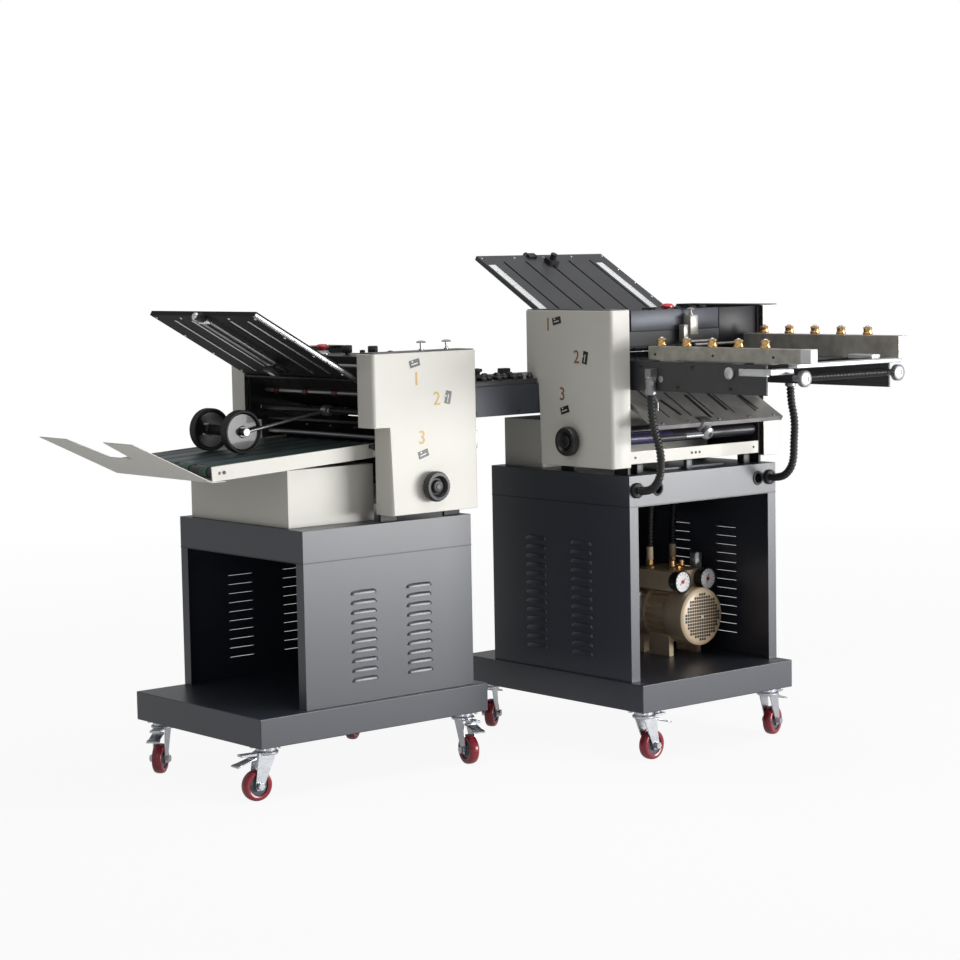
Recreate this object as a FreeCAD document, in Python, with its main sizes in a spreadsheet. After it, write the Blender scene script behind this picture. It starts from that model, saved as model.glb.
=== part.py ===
"""Two-station cross folder: a suction-fed first fold unit and a second fold unit with delivery.

Frame: +Z up, floor at Z = 0, origin under the middle of the whole machine.
The feed unit (b) moves paper along +Y, the cross unit (a) takes it over and moves it along -X.
Each fold unit is drawn in its own frame: u along the paper's way, v to the handwheel side, w up.
"""
import FreeCAD, Part
import math
import os
import Sketcher

doc = FreeCAD.newDocument("paper_folding_machine")

# ---------------------------------------------------------------- driving dimensions, millimetres
SIZES = {
    # carts
    "caster_high": 132, "base_long": 700, "base_margin": 15, "base_high": 72, "sheet": 3,
    "head_over": 38, "cab_a_long": 521, "cab_a_drop": 89.6, "cab_a_set": 144,
    "cab_b_long": 532, "cab_b_high": 521.6, "cab_b_set": 48, "cap_high": 78, "return_wide": 30,
    "louvre_long": 75, "louvre_gap": 4, "louvre_pitch": 23.7, "louvre_low": 52, "grommet_hole": 14,
    "cart_b_x": 941, "cart_b_y": -316,
    # casters
    "caster_inset": 46, "caster_plate": 64, "plate_thick": 3, "wheel_radius": 38, "wheel_wide": 25,
    "caster_trail": 28, "fork_sheet": 3, "fork_gap": 1, "axle_radius": 5, "fork_head": 25,
    "run_clear": 0.05,
    # fold units
    "head_wide": 606, "head_a_u": 661, "head_b_u": -250, "cover_thick": 62, "cover_long": 325,
    "cover_step": 50, "cover_low": 19, "cover_high": 395, "notch_high": 216, "cover_skin": 2,
    "frame_thick": 8, "frame_back": 12,
    "roller_radius": 20, "roller_gap": 0.6, "roller_u": 128, "nip_w": 303, "journal_radius": 8,
    "drive_u": 149, "drive_w": 84, "handwheel_radius": 38, "handwheel_deep": 26,
    "plate_long": 486, "plate_wide": 455, "plate_thick_all": 12, "slit": 4,
    "plate_tilt": 29.5, "plate_root_u": 189.00713, "plate_root_w_a": 274.68215, "plate_root_w_b": 305.68215,
    "slot_wide": 7, "slot_long": 330, "slot_pitch": 78, "stop_bar": 22, "stop_rest_a": 262, "stop_rest_b": 62,
    "low_plate_long": 226, "low_end_u": -76, "low_end_w": 116,
    "deck_w": 345, "deck_high": 53, "deck_u": 26, "deck_long": 150,
    "button_radius": 17, "button_stem": 8, "button_travel": 4,
    # delivery side of unit a
    "table_long": 510, "table_wide": 416, "rail_high": 35, "table_end_u": 731, "table_end_w": 166,
    "table_tilt": 3.1, "belt_wide": 30, "belt_thick": 1.4, "belt_roller": 13, "belt_axis": 17, "belt_pitch": 78,
    "tray_long": 236, "tray_gap": 1, "tray_wide": 420, "tray_tilt": 25.5, "tray_sheet": 2, "tray_end_w": 131,
    "notch_mouth": 163, "notch_root": 100, "notch_deep": 110, "tray_flange": 38,
    "stack_radius": 53, "stack_wide": 24, "stack_u": 523, "stack_w": 228.4, "stack_space": 137,
    "stack_v": -40, "arm_u": 276, "arm_w": 268, "arm_radius": 4,
    "box_high": 141, "box_u": 245, "box_long": 260, "rear_high": 127, "rear_u": 337,
    "rear_long": 150, "box_half": 228,
    # feed side of unit b
    "feed_long": 500, "feed_half": 222, "feed_w": 286, "side_low": 213, "side_thick": 5,
    "rail_long": 540, "rail_wide": 25, "near_rail_v": 198, "near_rail_u": -35, "near_rail_high": 34,
    "fence_v": -192, "fence_u": 20, "fence_long": 526, "fence_high": 56, "fence_thick": 6,
    "holder_radius": 10, "ball_pitch": 88,
    "suction_radius": 44, "suction_wide": 60, "suction_u": -90,
    # transfer table between the units
    "transfer_lap": 6, "transfer_in": 4.5, "transfer_wall": 3,
    "transfer_under": 150.4, "transfer_over": 226.4,
    # vacuum pump
    "pump_x": 1356, "pump_z": 312, "pump_y": -110, "motor_radius": 62, "fan_radius": 66,
    "motor_long": 150, "fan_long": 52, "housing_radius": 72, "housing_long": 110,
    "gauge_radius": 26, "hose_radius": 9.5, "port_inset": 25, "spare_radius": 13,
}

sheet = doc.addObject("Spreadsheet::Sheet", "Sizes")
for row, (word, value) in enumerate(SIZES.items(), start=1):
    sheet.set(f"A{row}", word.replace("_", " "))
    sheet.set(f"B{row}", str(value))
    sheet.setAlias(f"B{row}", word)
doc.recompute()


class Size:
    """A length or an angle: its number now, and the spreadsheet formula that gives it."""

    def __init__(self, number, formula):
        self.number = number
        self.formula = formula

    def joined(self, sign, other, number):
        return Size(number, f"({self.formula} {sign} {other.formula})")

    def __add__(self, other):
        other = as_size(other)
        return self.joined("+", other, self.number + other.number)

    def __sub__(self, other):
        other = as_size(other)
        return self.joined("-", other, self.number - other.number)

    def __mul__(self, other):
        other = as_size(other)
        return self.joined("*", other, self.number * other.number)

    def __truediv__(self, other):
        other = as_size(other)
        return self.joined("/", other, self.number / other.number)

    def __radd__(self, other):
        return as_size(other) + self

    def __rsub__(self, other):
        return as_size(other) - self

    def __rmul__(self, other):
        return as_size(other) * self

    def __neg__(self):
        return as_size(0) - self


def as_size(value):
    return value if isinstance(value, Size) else Size(float(value), repr(float(value)))


def cell(word):
    return Size(float(sheet.get(word)), f"Sizes.{word}")


def cosine(angle):
    return Size(math.cos(math.radians(angle.number)), f"cos({angle.formula})")


def sine(angle):
    return Size(math.sin(math.radians(angle.number)), f"sin({angle.formula})")


class Cells:
    """Every named size, read as S.name."""


S = Cells()
for word in SIZES:
    setattr(S, word, cell(word))

# ---------------------------------------------------------------- how pieces are made
AXES = {"x": FreeCAD.Rotation(FreeCAD.Vector(0, 1, 0), 90),
        "y": FreeCAD.Rotation(FreeCAD.Vector(1, 0, 0), -90),
        "z": FreeCAD.Rotation()}
nodes = []
made = [0]


def new(kind, name=None):
    made[0] += 1
    return doc.addObject(kind, name or f"item_{made[0]}")


def bind(thing, **values):
    for name, value in values.items():
        thing.setExpression(name, as_size(value).formula)


def place(thing, at, rotation=None):
    """Put a thing at a point whose coordinates are sizes."""
    numbers = [as_size(value).number for value in at]
    thing.Placement = FreeCAD.Placement(FreeCAD.Vector(*numbers), rotation or FreeCAD.Rotation())
    for letter, value in zip("xyz", at):
        thing.setExpression(f"Placement.Base.{letter}", as_size(value).formula)
    return thing


def box(at, long, wide, high):
    block = new("Part::Box")
    bind(block, Length=long, Width=wide, Height=high)
    return place(block, at)


def rod(at, radius, long, axis="z"):
    bar = new("Part::Cylinder")
    bind(bar, Radius=radius, Height=long)
    return place(bar, at, AXES[axis])


def fuse(*pieces):
    whole = new("Part::MultiFuse")
    whole.Shapes = list(pieces)
    return whole


def cut(base, *tools):
    part = new("Part::Cut")
    part.Base = base
    part.Tool = tools[0] if len(tools) == 1 else fuse(*tools)
    return part


def group(*pieces):
    whole = new("Part::Compound")
    whole.Links = list(pieces)
    return whole


def moved(thing, at, rotation=None):
    return place(group(thing), at, rotation)


def outline_sketch(body, role, points):
    """A closed outline whose corners are pinned to the sketch origin by named sizes."""
    outline = body.newObject("Sketcher::SketchObject", f"outline_{made[0]}")
    plane = [item for item in body.Origin.OriginFeatures if item.Role == role][0]
    outline.AttachmentSupport = [(plane, "")]
    outline.MapMode = "FlatFace"
    corners = [(as_size(x), as_size(y)) for x, y in points]
    count = len(corners)
    for index in range(count):
        start, end = corners[index], corners[(index + 1) % count]
        outline.addGeometry(Part.LineSegment(FreeCAD.Vector(start[0].number, start[1].number, 0),
                                             FreeCAD.Vector(end[0].number, end[1].number, 0)), False)
    for index in range(count):
        outline.addConstraint(Sketcher.Constraint("Coincident", index, 2, (index + 1) % count, 1))
    for index, corner in enumerate(corners):
        for kind, value in zip(("DistanceX", "DistanceY"), corner):
            number = outline.addConstraint(Sketcher.Constraint(kind, -1, 1, index, 1, value.number))
            outline.renameConstraint(number, f"{kind}_{index}")
            outline.setExpression(f"Constraints.{kind}_{index}", value.formula)
    return outline


def hollow_box(at, long, wide, high, wall):
    """A closed sheet-metal box."""
    inside = [value + wall for value in at]
    return cut(box(at, long, wide, high),
               box(inside, long - 2 * wall, wide - 2 * wall, high - 2 * wall))


def padded(points, thick):
    """A flat outline in XY, thickened upwards from its own plane."""
    body = new("PartDesign::Body")
    pad = body.newObject("PartDesign::Pad", f"pad_{made[0]}")
    pad.Profile = outline_sketch(body, "XY_Plane", points)
    bind(pad, Length=thick)
    return body


def turned(points):
    """A profile of (radius, height) corners, revolved about the body's own Z axis."""
    body = new("PartDesign::Body")
    revolution = body.newObject("PartDesign::Revolution", f"turn_{made[0]}")
    profile = outline_sketch(body, "XZ_Plane", points)
    revolution.Profile = profile
    revolution.ReferenceAxis = (profile, ["V_Axis"])
    revolution.Angle = 360
    return body


def node(label, *pieces):
    """One named sub-part: one solid, or identical separate solids."""
    part = new("Part::Compound", label)
    part.Label = label
    part.Links = list(pieces)
    # the whole machine is shifted so that its origin lies under its middle
    place(part, (-MIDDLE_X, -MIDDLE_Y, 0))
    nodes.append(part)
    return part


def in_head(unit, *pieces):
    """Pieces drawn in a fold unit's own frame, put on its cart."""
    at, turn = HEADS[unit]
    return place(group(*pieces), at, FreeCAD.Rotation(FreeCAD.Vector(0, 0, 1), turn))


def tilted(at, angle, *pieces):
    """Pieces drawn flat, then raised by an angle about the v axis through a point."""
    whole = place(group(*pieces), at, FreeCAD.Rotation(FreeCAD.Vector(0, -1, 0), angle.number))
    whole.setExpression("Placement.Rotation.Angle", angle.formula)
    return whole


# ---------------------------------------------------------------- where the units stand
deck_z = S.caster_high + S.base_high
cab_wide = S.head_wide - 2 * S.head_over
base_wide = cab_wide + S.base_margin
cab_a_high = S.cab_b_high - S.cab_a_drop
top_a = deck_z + cab_a_high
top_b = deck_z + S.cab_b_high
cab_a_y = (base_wide - cab_wide) / 2 + 5.5
cab_b_x = S.cart_b_x + (base_wide - cab_wide) / 2
mid_a_y = cab_a_y + cab_wide / 2
mid_b_x = cab_b_x + cab_wide / 2
tray_reach = S.table_end_u + S.tray_gap + S.tray_long * cosine(S.tray_tilt)
rail_tip = S.near_rail_u - S.rail_long
MIDDLE_X = (S.head_a_u - tray_reach + mid_b_x + S.head_wide / 2) / 2
MIDDLE_Y = (S.head_b_u + rail_tip + mid_a_y + S.head_wide / 2) / 2
HEADS = {"a": ((S.head_a_u, mid_a_y, top_a), 180), "b": ((mid_b_x, S.head_b_u, top_b), 90)}
CARTS = {"a": ((0, 0, 0), 0), "b": ((S.cart_b_x + base_wide, S.cart_b_y, 0), 90)}
CABINETS = {"a": ((S.cab_a_set, cab_a_y, deck_z), 0, S.cab_a_long, cab_a_high),
            "b": ((cab_b_x + cab_wide, S.cart_b_y + S.cab_b_set, deck_z), 90,
                  S.cab_b_long, S.cab_b_high)}


def on_cart(unit, *pieces):
    at, turn = CARTS[unit]
    return place(group(*pieces), at, FreeCAD.Rotation(FreeCAD.Vector(0, 0, 1), turn))


def in_cabinet(unit, *pieces):
    at, turn = CABINETS[unit][:2]
    return place(group(*pieces), at, FreeCAD.Rotation(FreeCAD.Vector(0, 0, 1), turn))


# ---------------------------------------------------------------- carts
def cart_base():
    """Closed box base of folded steel sheet."""
    return hollow_box((0, 0, S.caster_high), S.base_long, base_wide, S.base_high, S.sheet)


def cabinet_cap(long, high, holes):
    """Lid with a deep skirt that closes the cabinet's top."""
    low = high - S.cap_high
    shell = box((0, 0, low), long, cab_wide, S.cap_high)
    hollow = box((S.sheet, S.sheet, low - 1), long - 2 * S.sheet, cab_wide - 2 * S.sheet,
                 S.cap_high - S.sheet + 1)
    drills = [rod((-1, y, high - 37), radius, S.sheet + 2, "x") for y, radius in holes]
    return cut(shell, hollow, *drills)


def side_panel(long, high, count, mirrored):
    """Louvred side with a return that forms the front post."""
    tall = high - S.cap_high
    wall_y = cab_wide - S.sheet if mirrored else 0
    return_y = cab_wide - S.return_wide if mirrored else 0
    skin = fuse(box((0, wall_y, 0), long, S.sheet, tall),
                box((0, return_y, 0), S.sheet, S.return_wide, tall))
    slots = []
    for start in (long * 0.27, long * 0.6):
        for index in range(count):
            slots.append(box((start, wall_y - 1, S.louvre_low + S.louvre_pitch * index),
                             S.louvre_long, S.sheet + 2, S.louvre_gap))
    return cut(skin, *slots)


def end_panel(long, high):
    return box((long - S.sheet, S.sheet, 0), S.sheet, cab_wide - 2 * S.sheet, high - S.cap_high)


near_hole = cab_wide - S.port_inset
far_hole = S.port_inset
LOUVRES = {"a": 10, "b": 13}
HOLES = {"a": (), "b": ((near_hole, S.grommet_hole), (far_hole, S.grommet_hole),
                        (cab_wide - 98, S.spare_radius), (S.port_inset + 42, S.spare_radius))}
node("cart_bases", on_cart("a", cart_base()), on_cart("b", cart_base()))
caps = []
panels = []
for unit, (at, turn, long, high) in CABINETS.items():
    caps.append(in_cabinet(unit, cabinet_cap(long, high, HOLES[unit])))
    panels.append(in_cabinet(unit, side_panel(long, high, LOUVRES[unit], False),
                             side_panel(long, high, LOUVRES[unit], True), end_panel(long, high)))
node("cabinet_caps", *caps)
node("cabinet_panels", *panels)

# ---------------------------------------------------------------- casters
FORK_TOP = S.caster_high - S.plate_thick
# cart, end, side and the heading of each trailing wheel in degrees
CASTERS = [("a", 0, 0, 175), ("a", 1, 0, 259), ("a", 0, 1, 220), ("a", 1, 1, 215),
           ("b", 0, 1, 5), ("b", 0, 0, 18), ("b", 1, 1, 35), ("b", 1, 0, 40)]


def caster_spot(unit, end, side):
    x = S.base_long - S.caster_inset if end else S.caster_inset
    y = base_wide - S.caster_inset if side else S.caster_inset
    if unit == "a":
        return x, y
    return S.cart_b_x + base_wide - y, S.cart_b_y + x


def caster_fork(spot, heading):
    """Swivel head, two fork cheeks with axle bolt, and the brake pedal at the back."""
    half = S.wheel_wide / 2 + S.fork_gap
    trail = S.caster_trail
    head = rod((0, 0, FORK_TOP - 12), S.fork_head, 12)
    crown = box((-20, -(half + S.fork_sheet), FORK_TOP - 18), 48, 2 * (half + S.fork_sheet), 6)
    cheeks = []
    for side in (-1, 1):
        low = half if side > 0 else -(half + S.fork_sheet)
        cheek = padded([(-20, FORK_TOP - 12), (28, FORK_TOP - 12), (trail + 12, S.wheel_radius),
                        (trail + 8, S.wheel_radius - 11), (trail - 8, S.wheel_radius - 11),
                        (trail - 12, S.wheel_radius)], S.fork_sheet)
        cheeks.append(place(group(cheek), (0, low + S.fork_sheet, 0),
                            FreeCAD.Rotation(FreeCAD.Vector(1, 0, 0), 90)))
    axle = rod((trail, -(half + S.fork_sheet + 4), S.wheel_radius), S.axle_radius,
               2 * (half + S.fork_sheet + 4), "y")
    body = fuse(head, crown, *cheeks, axle)
    pedal = box((28, -12, FORK_TOP - 18), 44, 24, 5)
    return moved(group(body, pedal), (*spot, 0), FreeCAD.Rotation(FreeCAD.Vector(0, 0, 1), heading))


def caster_wheel(spot, heading):
    """Tread on a hub, bored to run on the fork's axle."""
    half = S.wheel_wide / 2
    bore = S.axle_radius + S.run_clear
    profile = [(bore, -half), (14, -half), (15, 3 - half), (26, 3 - half), (28, -half),
               (S.wheel_radius - 3, -half), (S.wheel_radius, 3 - half), (S.wheel_radius, half - 3),
               (S.wheel_radius - 3, half), (28, half), (26, half - 3), (15, half - 3), (14, half),
               (bore, half)]
    wheel = place(group(turned(profile)), (S.caster_trail, 0, S.wheel_radius), AXES["y"])
    return moved(wheel, (*spot, 0), FreeCAD.Rotation(FreeCAD.Vector(0, 0, 1), heading))


plates = []
for index, (unit, end, side, heading) in enumerate(CASTERS, start=1):
    spot = caster_spot(unit, end, side)
    half = S.caster_plate / 2
    plates.append(box((spot[0] - half, spot[1] - half, FORK_TOP), S.caster_plate, S.caster_plate,
                      S.plate_thick))
    node(f"caster_fork_{index}", caster_fork(spot, heading))
    node(f"caster_wheel_{index}", caster_wheel(spot, heading))
node("caster_plates", *plates)

# ---------------------------------------------------------------- fold units: frames and covers
frame_v = S.head_wide / 2 - S.cover_thick
COVER = [(0, 0), (S.cover_long - S.cover_step, 0), (S.cover_long - S.cover_step, S.notch_high),
         (S.cover_long, S.notch_high), (S.cover_long, S.cover_high), (0, S.cover_high)]
UPRIGHT = FreeCAD.Rotation(FreeCAD.Vector(1, 0, 0), 90)


def side_frame(side):
    """Steel side plate with feet, bored for the roller and drive shafts."""
    back = S.frame_back
    skirt = S.cover_long - S.cover_step - back
    outline = [(back, 0), (back + 50, 0), (back + 50, 24), (skirt - 50, 24), (skirt - 50, 0),
               (skirt, 0), (skirt, S.notch_high + S.cover_low), (S.cover_long - back,
                S.notch_high + S.cover_low), (S.cover_long - back, S.cover_low + S.cover_high - 5),
               (back, S.cover_low + S.cover_high - 5)]
    low = frame_v - S.frame_thick if side > 0 else -frame_v
    plate = place(group(padded(outline, S.frame_thick)), (0, low + S.frame_thick, 0), UPRIGHT)
    hole = S.journal_radius + S.run_clear
    bores = [rod((u, low - 1, w), hole, S.frame_thick + 2, "y") for u, w in SHAFTS]
    return cut(plate, *bores)


def side_cover(side):
    """Deep-drawn sheet cover, open towards the frame, with a hole for the handwheel's shaft."""
    skin = S.cover_skin
    outer = place(group(padded(COVER, S.cover_thick)), (0, S.cover_thick, 0), UPRIGHT)
    shrunk = [(skin, skin), (S.cover_long - S.cover_step - skin, skin),
              (S.cover_long - S.cover_step - skin, S.notch_high + skin),
              (S.cover_long - skin, S.notch_high + skin), (S.cover_long - skin, S.cover_high - skin),
              (skin, S.cover_high - skin)]
    inner = place(group(padded(shrunk, S.cover_thick)), (0, S.cover_thick - skin, 0), UPRIGHT)
    tools = [inner]
    if side > 0:
        tools.append(rod((S.drive_u, -1, S.drive_w - S.cover_low), 12, S.cover_thick + 2, "y"))
    shell = cut(outer, *tools)
    if side > 0:
        return moved(shell, (0, frame_v, S.cover_low))
    # the far cover is the near one turned inside out, so it is mirrored across v
    far = new("Part::Mirroring")
    far.Source = shell
    far.Normal = FreeCAD.Vector(0, 1, 0)
    return moved(far, (0, -frame_v, S.cover_low))


step = S.roller_radius + S.roller_gap / 2
SHAFTS = [(S.roller_u, S.nip_w + step), (S.roller_u, S.nip_w - step), (S.drive_u, S.drive_w)]
frames = []
covers = []
for unit in HEADS:
    frames.append(in_head(unit, side_frame(1), side_frame(-1)))
    covers.append(in_head(unit, side_cover(1), side_cover(-1)))
node("side_frames", *frames)
node("side_covers", *covers)


def fold_roller(w):
    """Fold roller with its journals, and the drive gear pinned on one end."""
    reach = frame_v - S.frame_thick - 6
    body = rod((S.roller_u, -reach, w), S.roller_radius, 2 * reach, "y")
    journals = rod((S.roller_u, -(frame_v + 4), w), S.journal_radius, 2 * frame_v + 26, "y")
    gear = rod((S.roller_u, frame_v + 6, w), S.roller_radius, 10, "y")
    return fuse(body, journals, gear)


def drive_shaft():
    reach = frame_v + S.cover_thick
    shaft = rod((S.drive_u, -(frame_v + 4), S.drive_w), S.journal_radius, frame_v + reach + 18, "y")
    pulley = rod((S.drive_u, frame_v + 4, S.drive_w), 30, 18, "y")
    return fuse(shaft, pulley)


def handwheel():
    """Dished handwheel on the drive shaft's end, outside the cover."""
    deep = S.handwheel_deep
    rim = S.handwheel_radius
    bore = S.journal_radius
    profile = [(bore, 0), (18, 0), (rim - 8, 3), (rim - 3, 5), (rim, 9), (rim, deep - 5),
               (rim - 3, deep), (rim - 12, deep), (rim - 16, deep - 8), (20, deep - 10), (17, deep - 3),
               (bore, deep - 3)]
    wheel = group(turned(profile))
    return place(wheel, (S.drive_u, S.head_wide / 2 + 3, S.drive_w), AXES["y"])


for unit in HEADS:
    node(f"{unit}_roller_upper", in_head(unit, fold_roller(S.nip_w + step)))
    node(f"{unit}_roller_lower", in_head(unit, fold_roller(S.nip_w - step)))
    node(f"{unit}_drive_shaft", in_head(unit, drive_shaft()))
    node(f"{unit}_handwheel", in_head(unit, handwheel()))


# ---------------------------------------------------------------- buckle plates and their stops
def buckle_plate(long, slot_long):
    """Two sheets with a slit between them, slotted for the stop, drawn from its outer end."""
    half = S.plate_wide / 2
    lug = frame_v - S.frame_thick - 0.3
    block = fuse(box((-long, -half, 0), long, S.plate_wide, S.plate_thick_all),
                 box((-long + 60, -lug, 0), 50, 2 * lug, S.plate_thick_all))
    slit = box((-long - 1, 12 - half, (S.plate_thick_all - S.slit) / 2), long - 20 + 1,
               S.plate_wide - 24, S.slit)
    slots = []
    for index in range(-2, 3):
        slots.append(box((-34 - slot_long, S.slot_pitch * index - S.slot_wide / 2, -1), slot_long,
                         S.slot_wide, S.plate_thick_all + 2))
    return cut(block, slit, *slots)


def plate_stop(start, tab_low, tab_high):
    """Stop bar that slides in the slit, with tabs out through the slots and a clamp block."""
    half = S.slot_pitch * 2 + 30
    gap = 0.5
    bar_w = (S.plate_thick_all - S.slit) / 2 + gap
    bar = box((-start, -half, bar_w), S.stop_bar, 2 * half, S.slit - 2 * gap)
    tab = box((-start + 4, 0.8 - S.slot_wide / 2, tab_low), S.stop_bar - 8, S.slot_wide - 1.6,
              tab_high - tab_low)
    clamp_low = tab_low if tab_low.number < 0 else S.plate_thick_all + 1
    clamp = box((-start - 3, -16, clamp_low), S.stop_bar + 6, 32, 14)
    knob = rod((-start + S.stop_bar / 2, 0, clamp_low - 16 if tab_low.number < 0 else clamp_low + 14),
               9, 16)
    return fuse(bar, tab, clamp, knob)


def upper_spot(unit):
    """Outer end of an upper plate, reached from its inner end beside the fold rollers."""
    root_w = S.plate_root_w_a if unit == "a" else S.plate_root_w_b
    return (S.plate_root_u + S.plate_long * cosine(S.plate_tilt), 0,
            root_w + S.plate_long * sine(S.plate_tilt))


below = as_size(-15)
above = S.plate_thick_all + 15
for unit in HEADS:
    plate = buckle_plate(S.plate_long, S.slot_long)
    node(f"{unit}_fold_plate", in_head(unit, tilted(upper_spot(unit), S.plate_tilt, plate)))
    reach = (below, S.plate_thick_all) if unit == "a" else (as_size(0), above)
    stop = plate_stop(S.stop_rest_a if unit == "a" else S.stop_rest_b, *reach)
    node(f"{unit}_plate_stop", in_head(unit, tilted(upper_spot(unit), S.plate_tilt, stop)))


def lower_plate():
    """Lower buckle plate of the feed unit: it hangs towards the feed side."""
    half = S.plate_wide / 2
    long = S.low_plate_long
    lug = frame_v - S.frame_thick - 0.3
    block = fuse(box((0, -half, 0), long, S.plate_wide, S.plate_thick_all),
                 box((long - 80, -lug, 0), 50, 2 * lug, S.plate_thick_all))
    slit = box((20, 12 - half, (S.plate_thick_all - S.slit) / 2), long - 20 + 1, S.plate_wide - 24,
               S.slit)
    slots = []
    for index in range(-2, 3):
        slots.append(box((34, S.slot_pitch * index - S.slot_wide / 2, -1), long - 60, S.slot_wide,
                         S.plate_thick_all + 2))
    return cut(block, slit, *slots)


def lower_stop():
    half = S.slot_pitch * 2 + 30
    gap = 0.5
    bar_w = (S.plate_thick_all - S.slit) / 2 + gap
    bar = box((60, -half, bar_w), S.stop_bar, 2 * half, S.slit - 2 * gap)
    tab = box((64, 0.8 - S.slot_wide / 2, -18), S.stop_bar - 8, S.slot_wide - 1.6,
              18 + S.plate_thick_all)
    clamp = box((57, -14, -22), S.stop_bar + 6, 28, 12)
    knob = rod((60 + S.stop_bar / 2, 0, -36), 9, 14)
    return fuse(bar, tab, clamp, knob)


low_spot = (S.low_end_u, 0, S.low_end_w)
node("b_lower_plate", in_head("b", tilted(low_spot, S.plate_tilt, lower_plate())))
node("b_lower_stop", in_head("b", tilted(low_spot, S.plate_tilt, lower_stop())))


# ---------------------------------------------------------------- top decks and stop buttons
def top_deck():
    """Closed sheet-metal hood between the side frames, over the fold rollers."""
    half = frame_v - S.frame_thick
    return hollow_box((S.deck_u, -half, S.deck_w), S.deck_long, 2 * half, S.deck_high, S.sheet)


BUTTONS = {"a": (130, -165), "b": (80, 30)}


def button_hole(unit):
    u, v = BUTTONS[unit]
    return rod((u, v, S.deck_w + S.deck_high - S.sheet - 1), S.button_stem + 0.5, S.sheet + 2)


def button_collar(unit):
    u, v = BUTTONS[unit]
    top = S.deck_w + S.deck_high
    return cut(rod((u, v, top - 1), 15, 11), rod((u, v, top - 2), S.button_stem + 0.5, 14))


def stop_button(unit):
    u, v = BUTTONS[unit]
    seat = S.deck_w + S.deck_high + 10 + S.button_travel + 1
    stem = S.button_stem
    profile = [(0, -24), (stem, -24), (stem, 0), (S.button_radius - 2, 0), (S.button_radius, 2),
               (S.button_radius, 7), (S.button_radius - 5, 11), (0, 12)]
    return place(group(turned(profile)), (u, v, seat))


decks = []
for unit in HEADS:
    decks.append(in_head(unit, fuse(cut(top_deck(), button_hole(unit)), button_collar(unit))))
    node(f"{unit}_stop_button", in_head(unit, stop_button(unit)))
node("top_decks", *decks)


# ---------------------------------------------------------------- cross bars of both units
def cross_bar(u, w, deep, high):
    half = frame_v - S.frame_thick
    return box((u, -half, w), deep, 2 * half, high)


def pivot_bar():
    reach = frame_v - S.frame_thick
    return rod((S.arm_u, -reach, S.arm_w), 6, 2 * reach, "y")


def table_bracket(side):
    """Block that carries a rail of the delivery table on the side frame."""
    rail_v = S.table_wide / 2
    gap = frame_v - S.frame_thick - rail_v
    return box((232, rail_v if side > 0 else -(rail_v + gap), 160), 26, gap, 24)


bars = [in_head("a", cross_bar(40, 30, 16, 30), cross_bar(200, 36, 16, 30), pivot_bar(),
                table_bracket(1), table_bracket(-1)),
        in_head("b", cross_bar(S.frame_back, 26, 6, 32), cross_bar(200, 36, 16, 30),
                cross_bar(210, 120, 12, 40))]
node("cross_bars", *bars)


# ---------------------------------------------------------------- delivery table, belts, tray
BELTS = range(-2, 3)
end_spot = (S.table_end_u, 0, S.table_end_w)


def delivery_table():
    """Channel with side rails; the belts run on its bed and return below it."""
    long = S.table_long
    half = S.table_wide / 2
    rail = S.sheet
    first, last = belt_centres()
    bed_w = S.belt_roller - S.belt_axis - 3
    bed = box((first + S.belt_roller + 1, -half + rail, bed_w),
              last - first - 2 * S.belt_roller - 2, S.table_wide - 2 * rail, 3)
    sides = [box((-long, v, -S.rail_high), long, rail, S.rail_high) for v in (-half, half - rail)]
    lip = box((-24, -half, -S.rail_high - 0.01), 24, S.table_wide, 2)
    foot = box((-long, -half, -S.rail_high - 0.01), 24, S.table_wide, 2)
    holes = []
    for along in (first, last):
        holes.append(rod((along, -half - 1, -S.belt_axis), 4 + S.run_clear, S.table_wide + 2, "y"))
    return cut(fuse(bed, *sides, lip, foot), *holes)


def belt_centres():
    return -S.table_long + S.belt_roller, as_size(-21)


def belt_roller(along):
    half = S.table_wide / 2 - S.sheet
    crown = rod((along, -half + 1, -S.belt_axis), S.belt_roller, 2 * half - 2, "y")
    return fuse(crown, rod((along, -half - S.sheet, -S.belt_axis), 4, 2 * half + 2 * S.sheet,
                           "y"))


def belt(v):
    """One endless flat belt round the two rollers."""
    first, last = belt_centres()
    inner = S.belt_roller + 0.3
    outer = inner + S.belt_thick
    rings = []
    for radius, extra in ((outer, 0), (inner, 1)):
        run = box((first, v - S.belt_wide / 2 - extra, -S.belt_axis - radius), last - first,
                  S.belt_wide + 2 * extra, 2 * radius)
        ends = [rod((x, v - S.belt_wide / 2 - extra, -S.belt_axis), radius,
                    S.belt_wide + 2 * extra, "y")
                for x in (first, last)]
        rings.append(fuse(run, *ends))
    return cut(rings[0], rings[1])


def delivery_tray():
    """Upturned catch tray with a notch between two horns, and a flange under the table."""
    half = S.tray_wide / 2
    long = S.tray_long
    horns = [(0, -half), (long, -half), (long, -S.notch_mouth / 2),
             (long - S.notch_deep, -S.notch_root / 2), (long - S.notch_deep, S.notch_root / 2),
             (long, S.notch_mouth / 2), (long, half), (0, half)]
    fold = (S.table_end_u + S.tray_gap, 0, S.tray_end_w - S.tray_sheet)
    slope = tilted(fold, S.tray_tilt, padded(horns, S.tray_sheet))
    flange = box((fold[0] - S.tray_flange, -half, fold[2]), S.tray_flange, S.tray_wide, S.tray_sheet)
    return fuse(slope, flange)


def on_table(*pieces):
    whole = place(group(*pieces), end_spot, FreeCAD.Rotation(FreeCAD.Vector(0, 1, 0), 0))
    whole.Placement.Rotation = FreeCAD.Rotation(FreeCAD.Vector(0, 1, 0), S.table_tilt.number)
    whole.setExpression("Placement.Rotation.Angle", S.table_tilt.formula)
    return in_head("a", whole)


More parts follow.
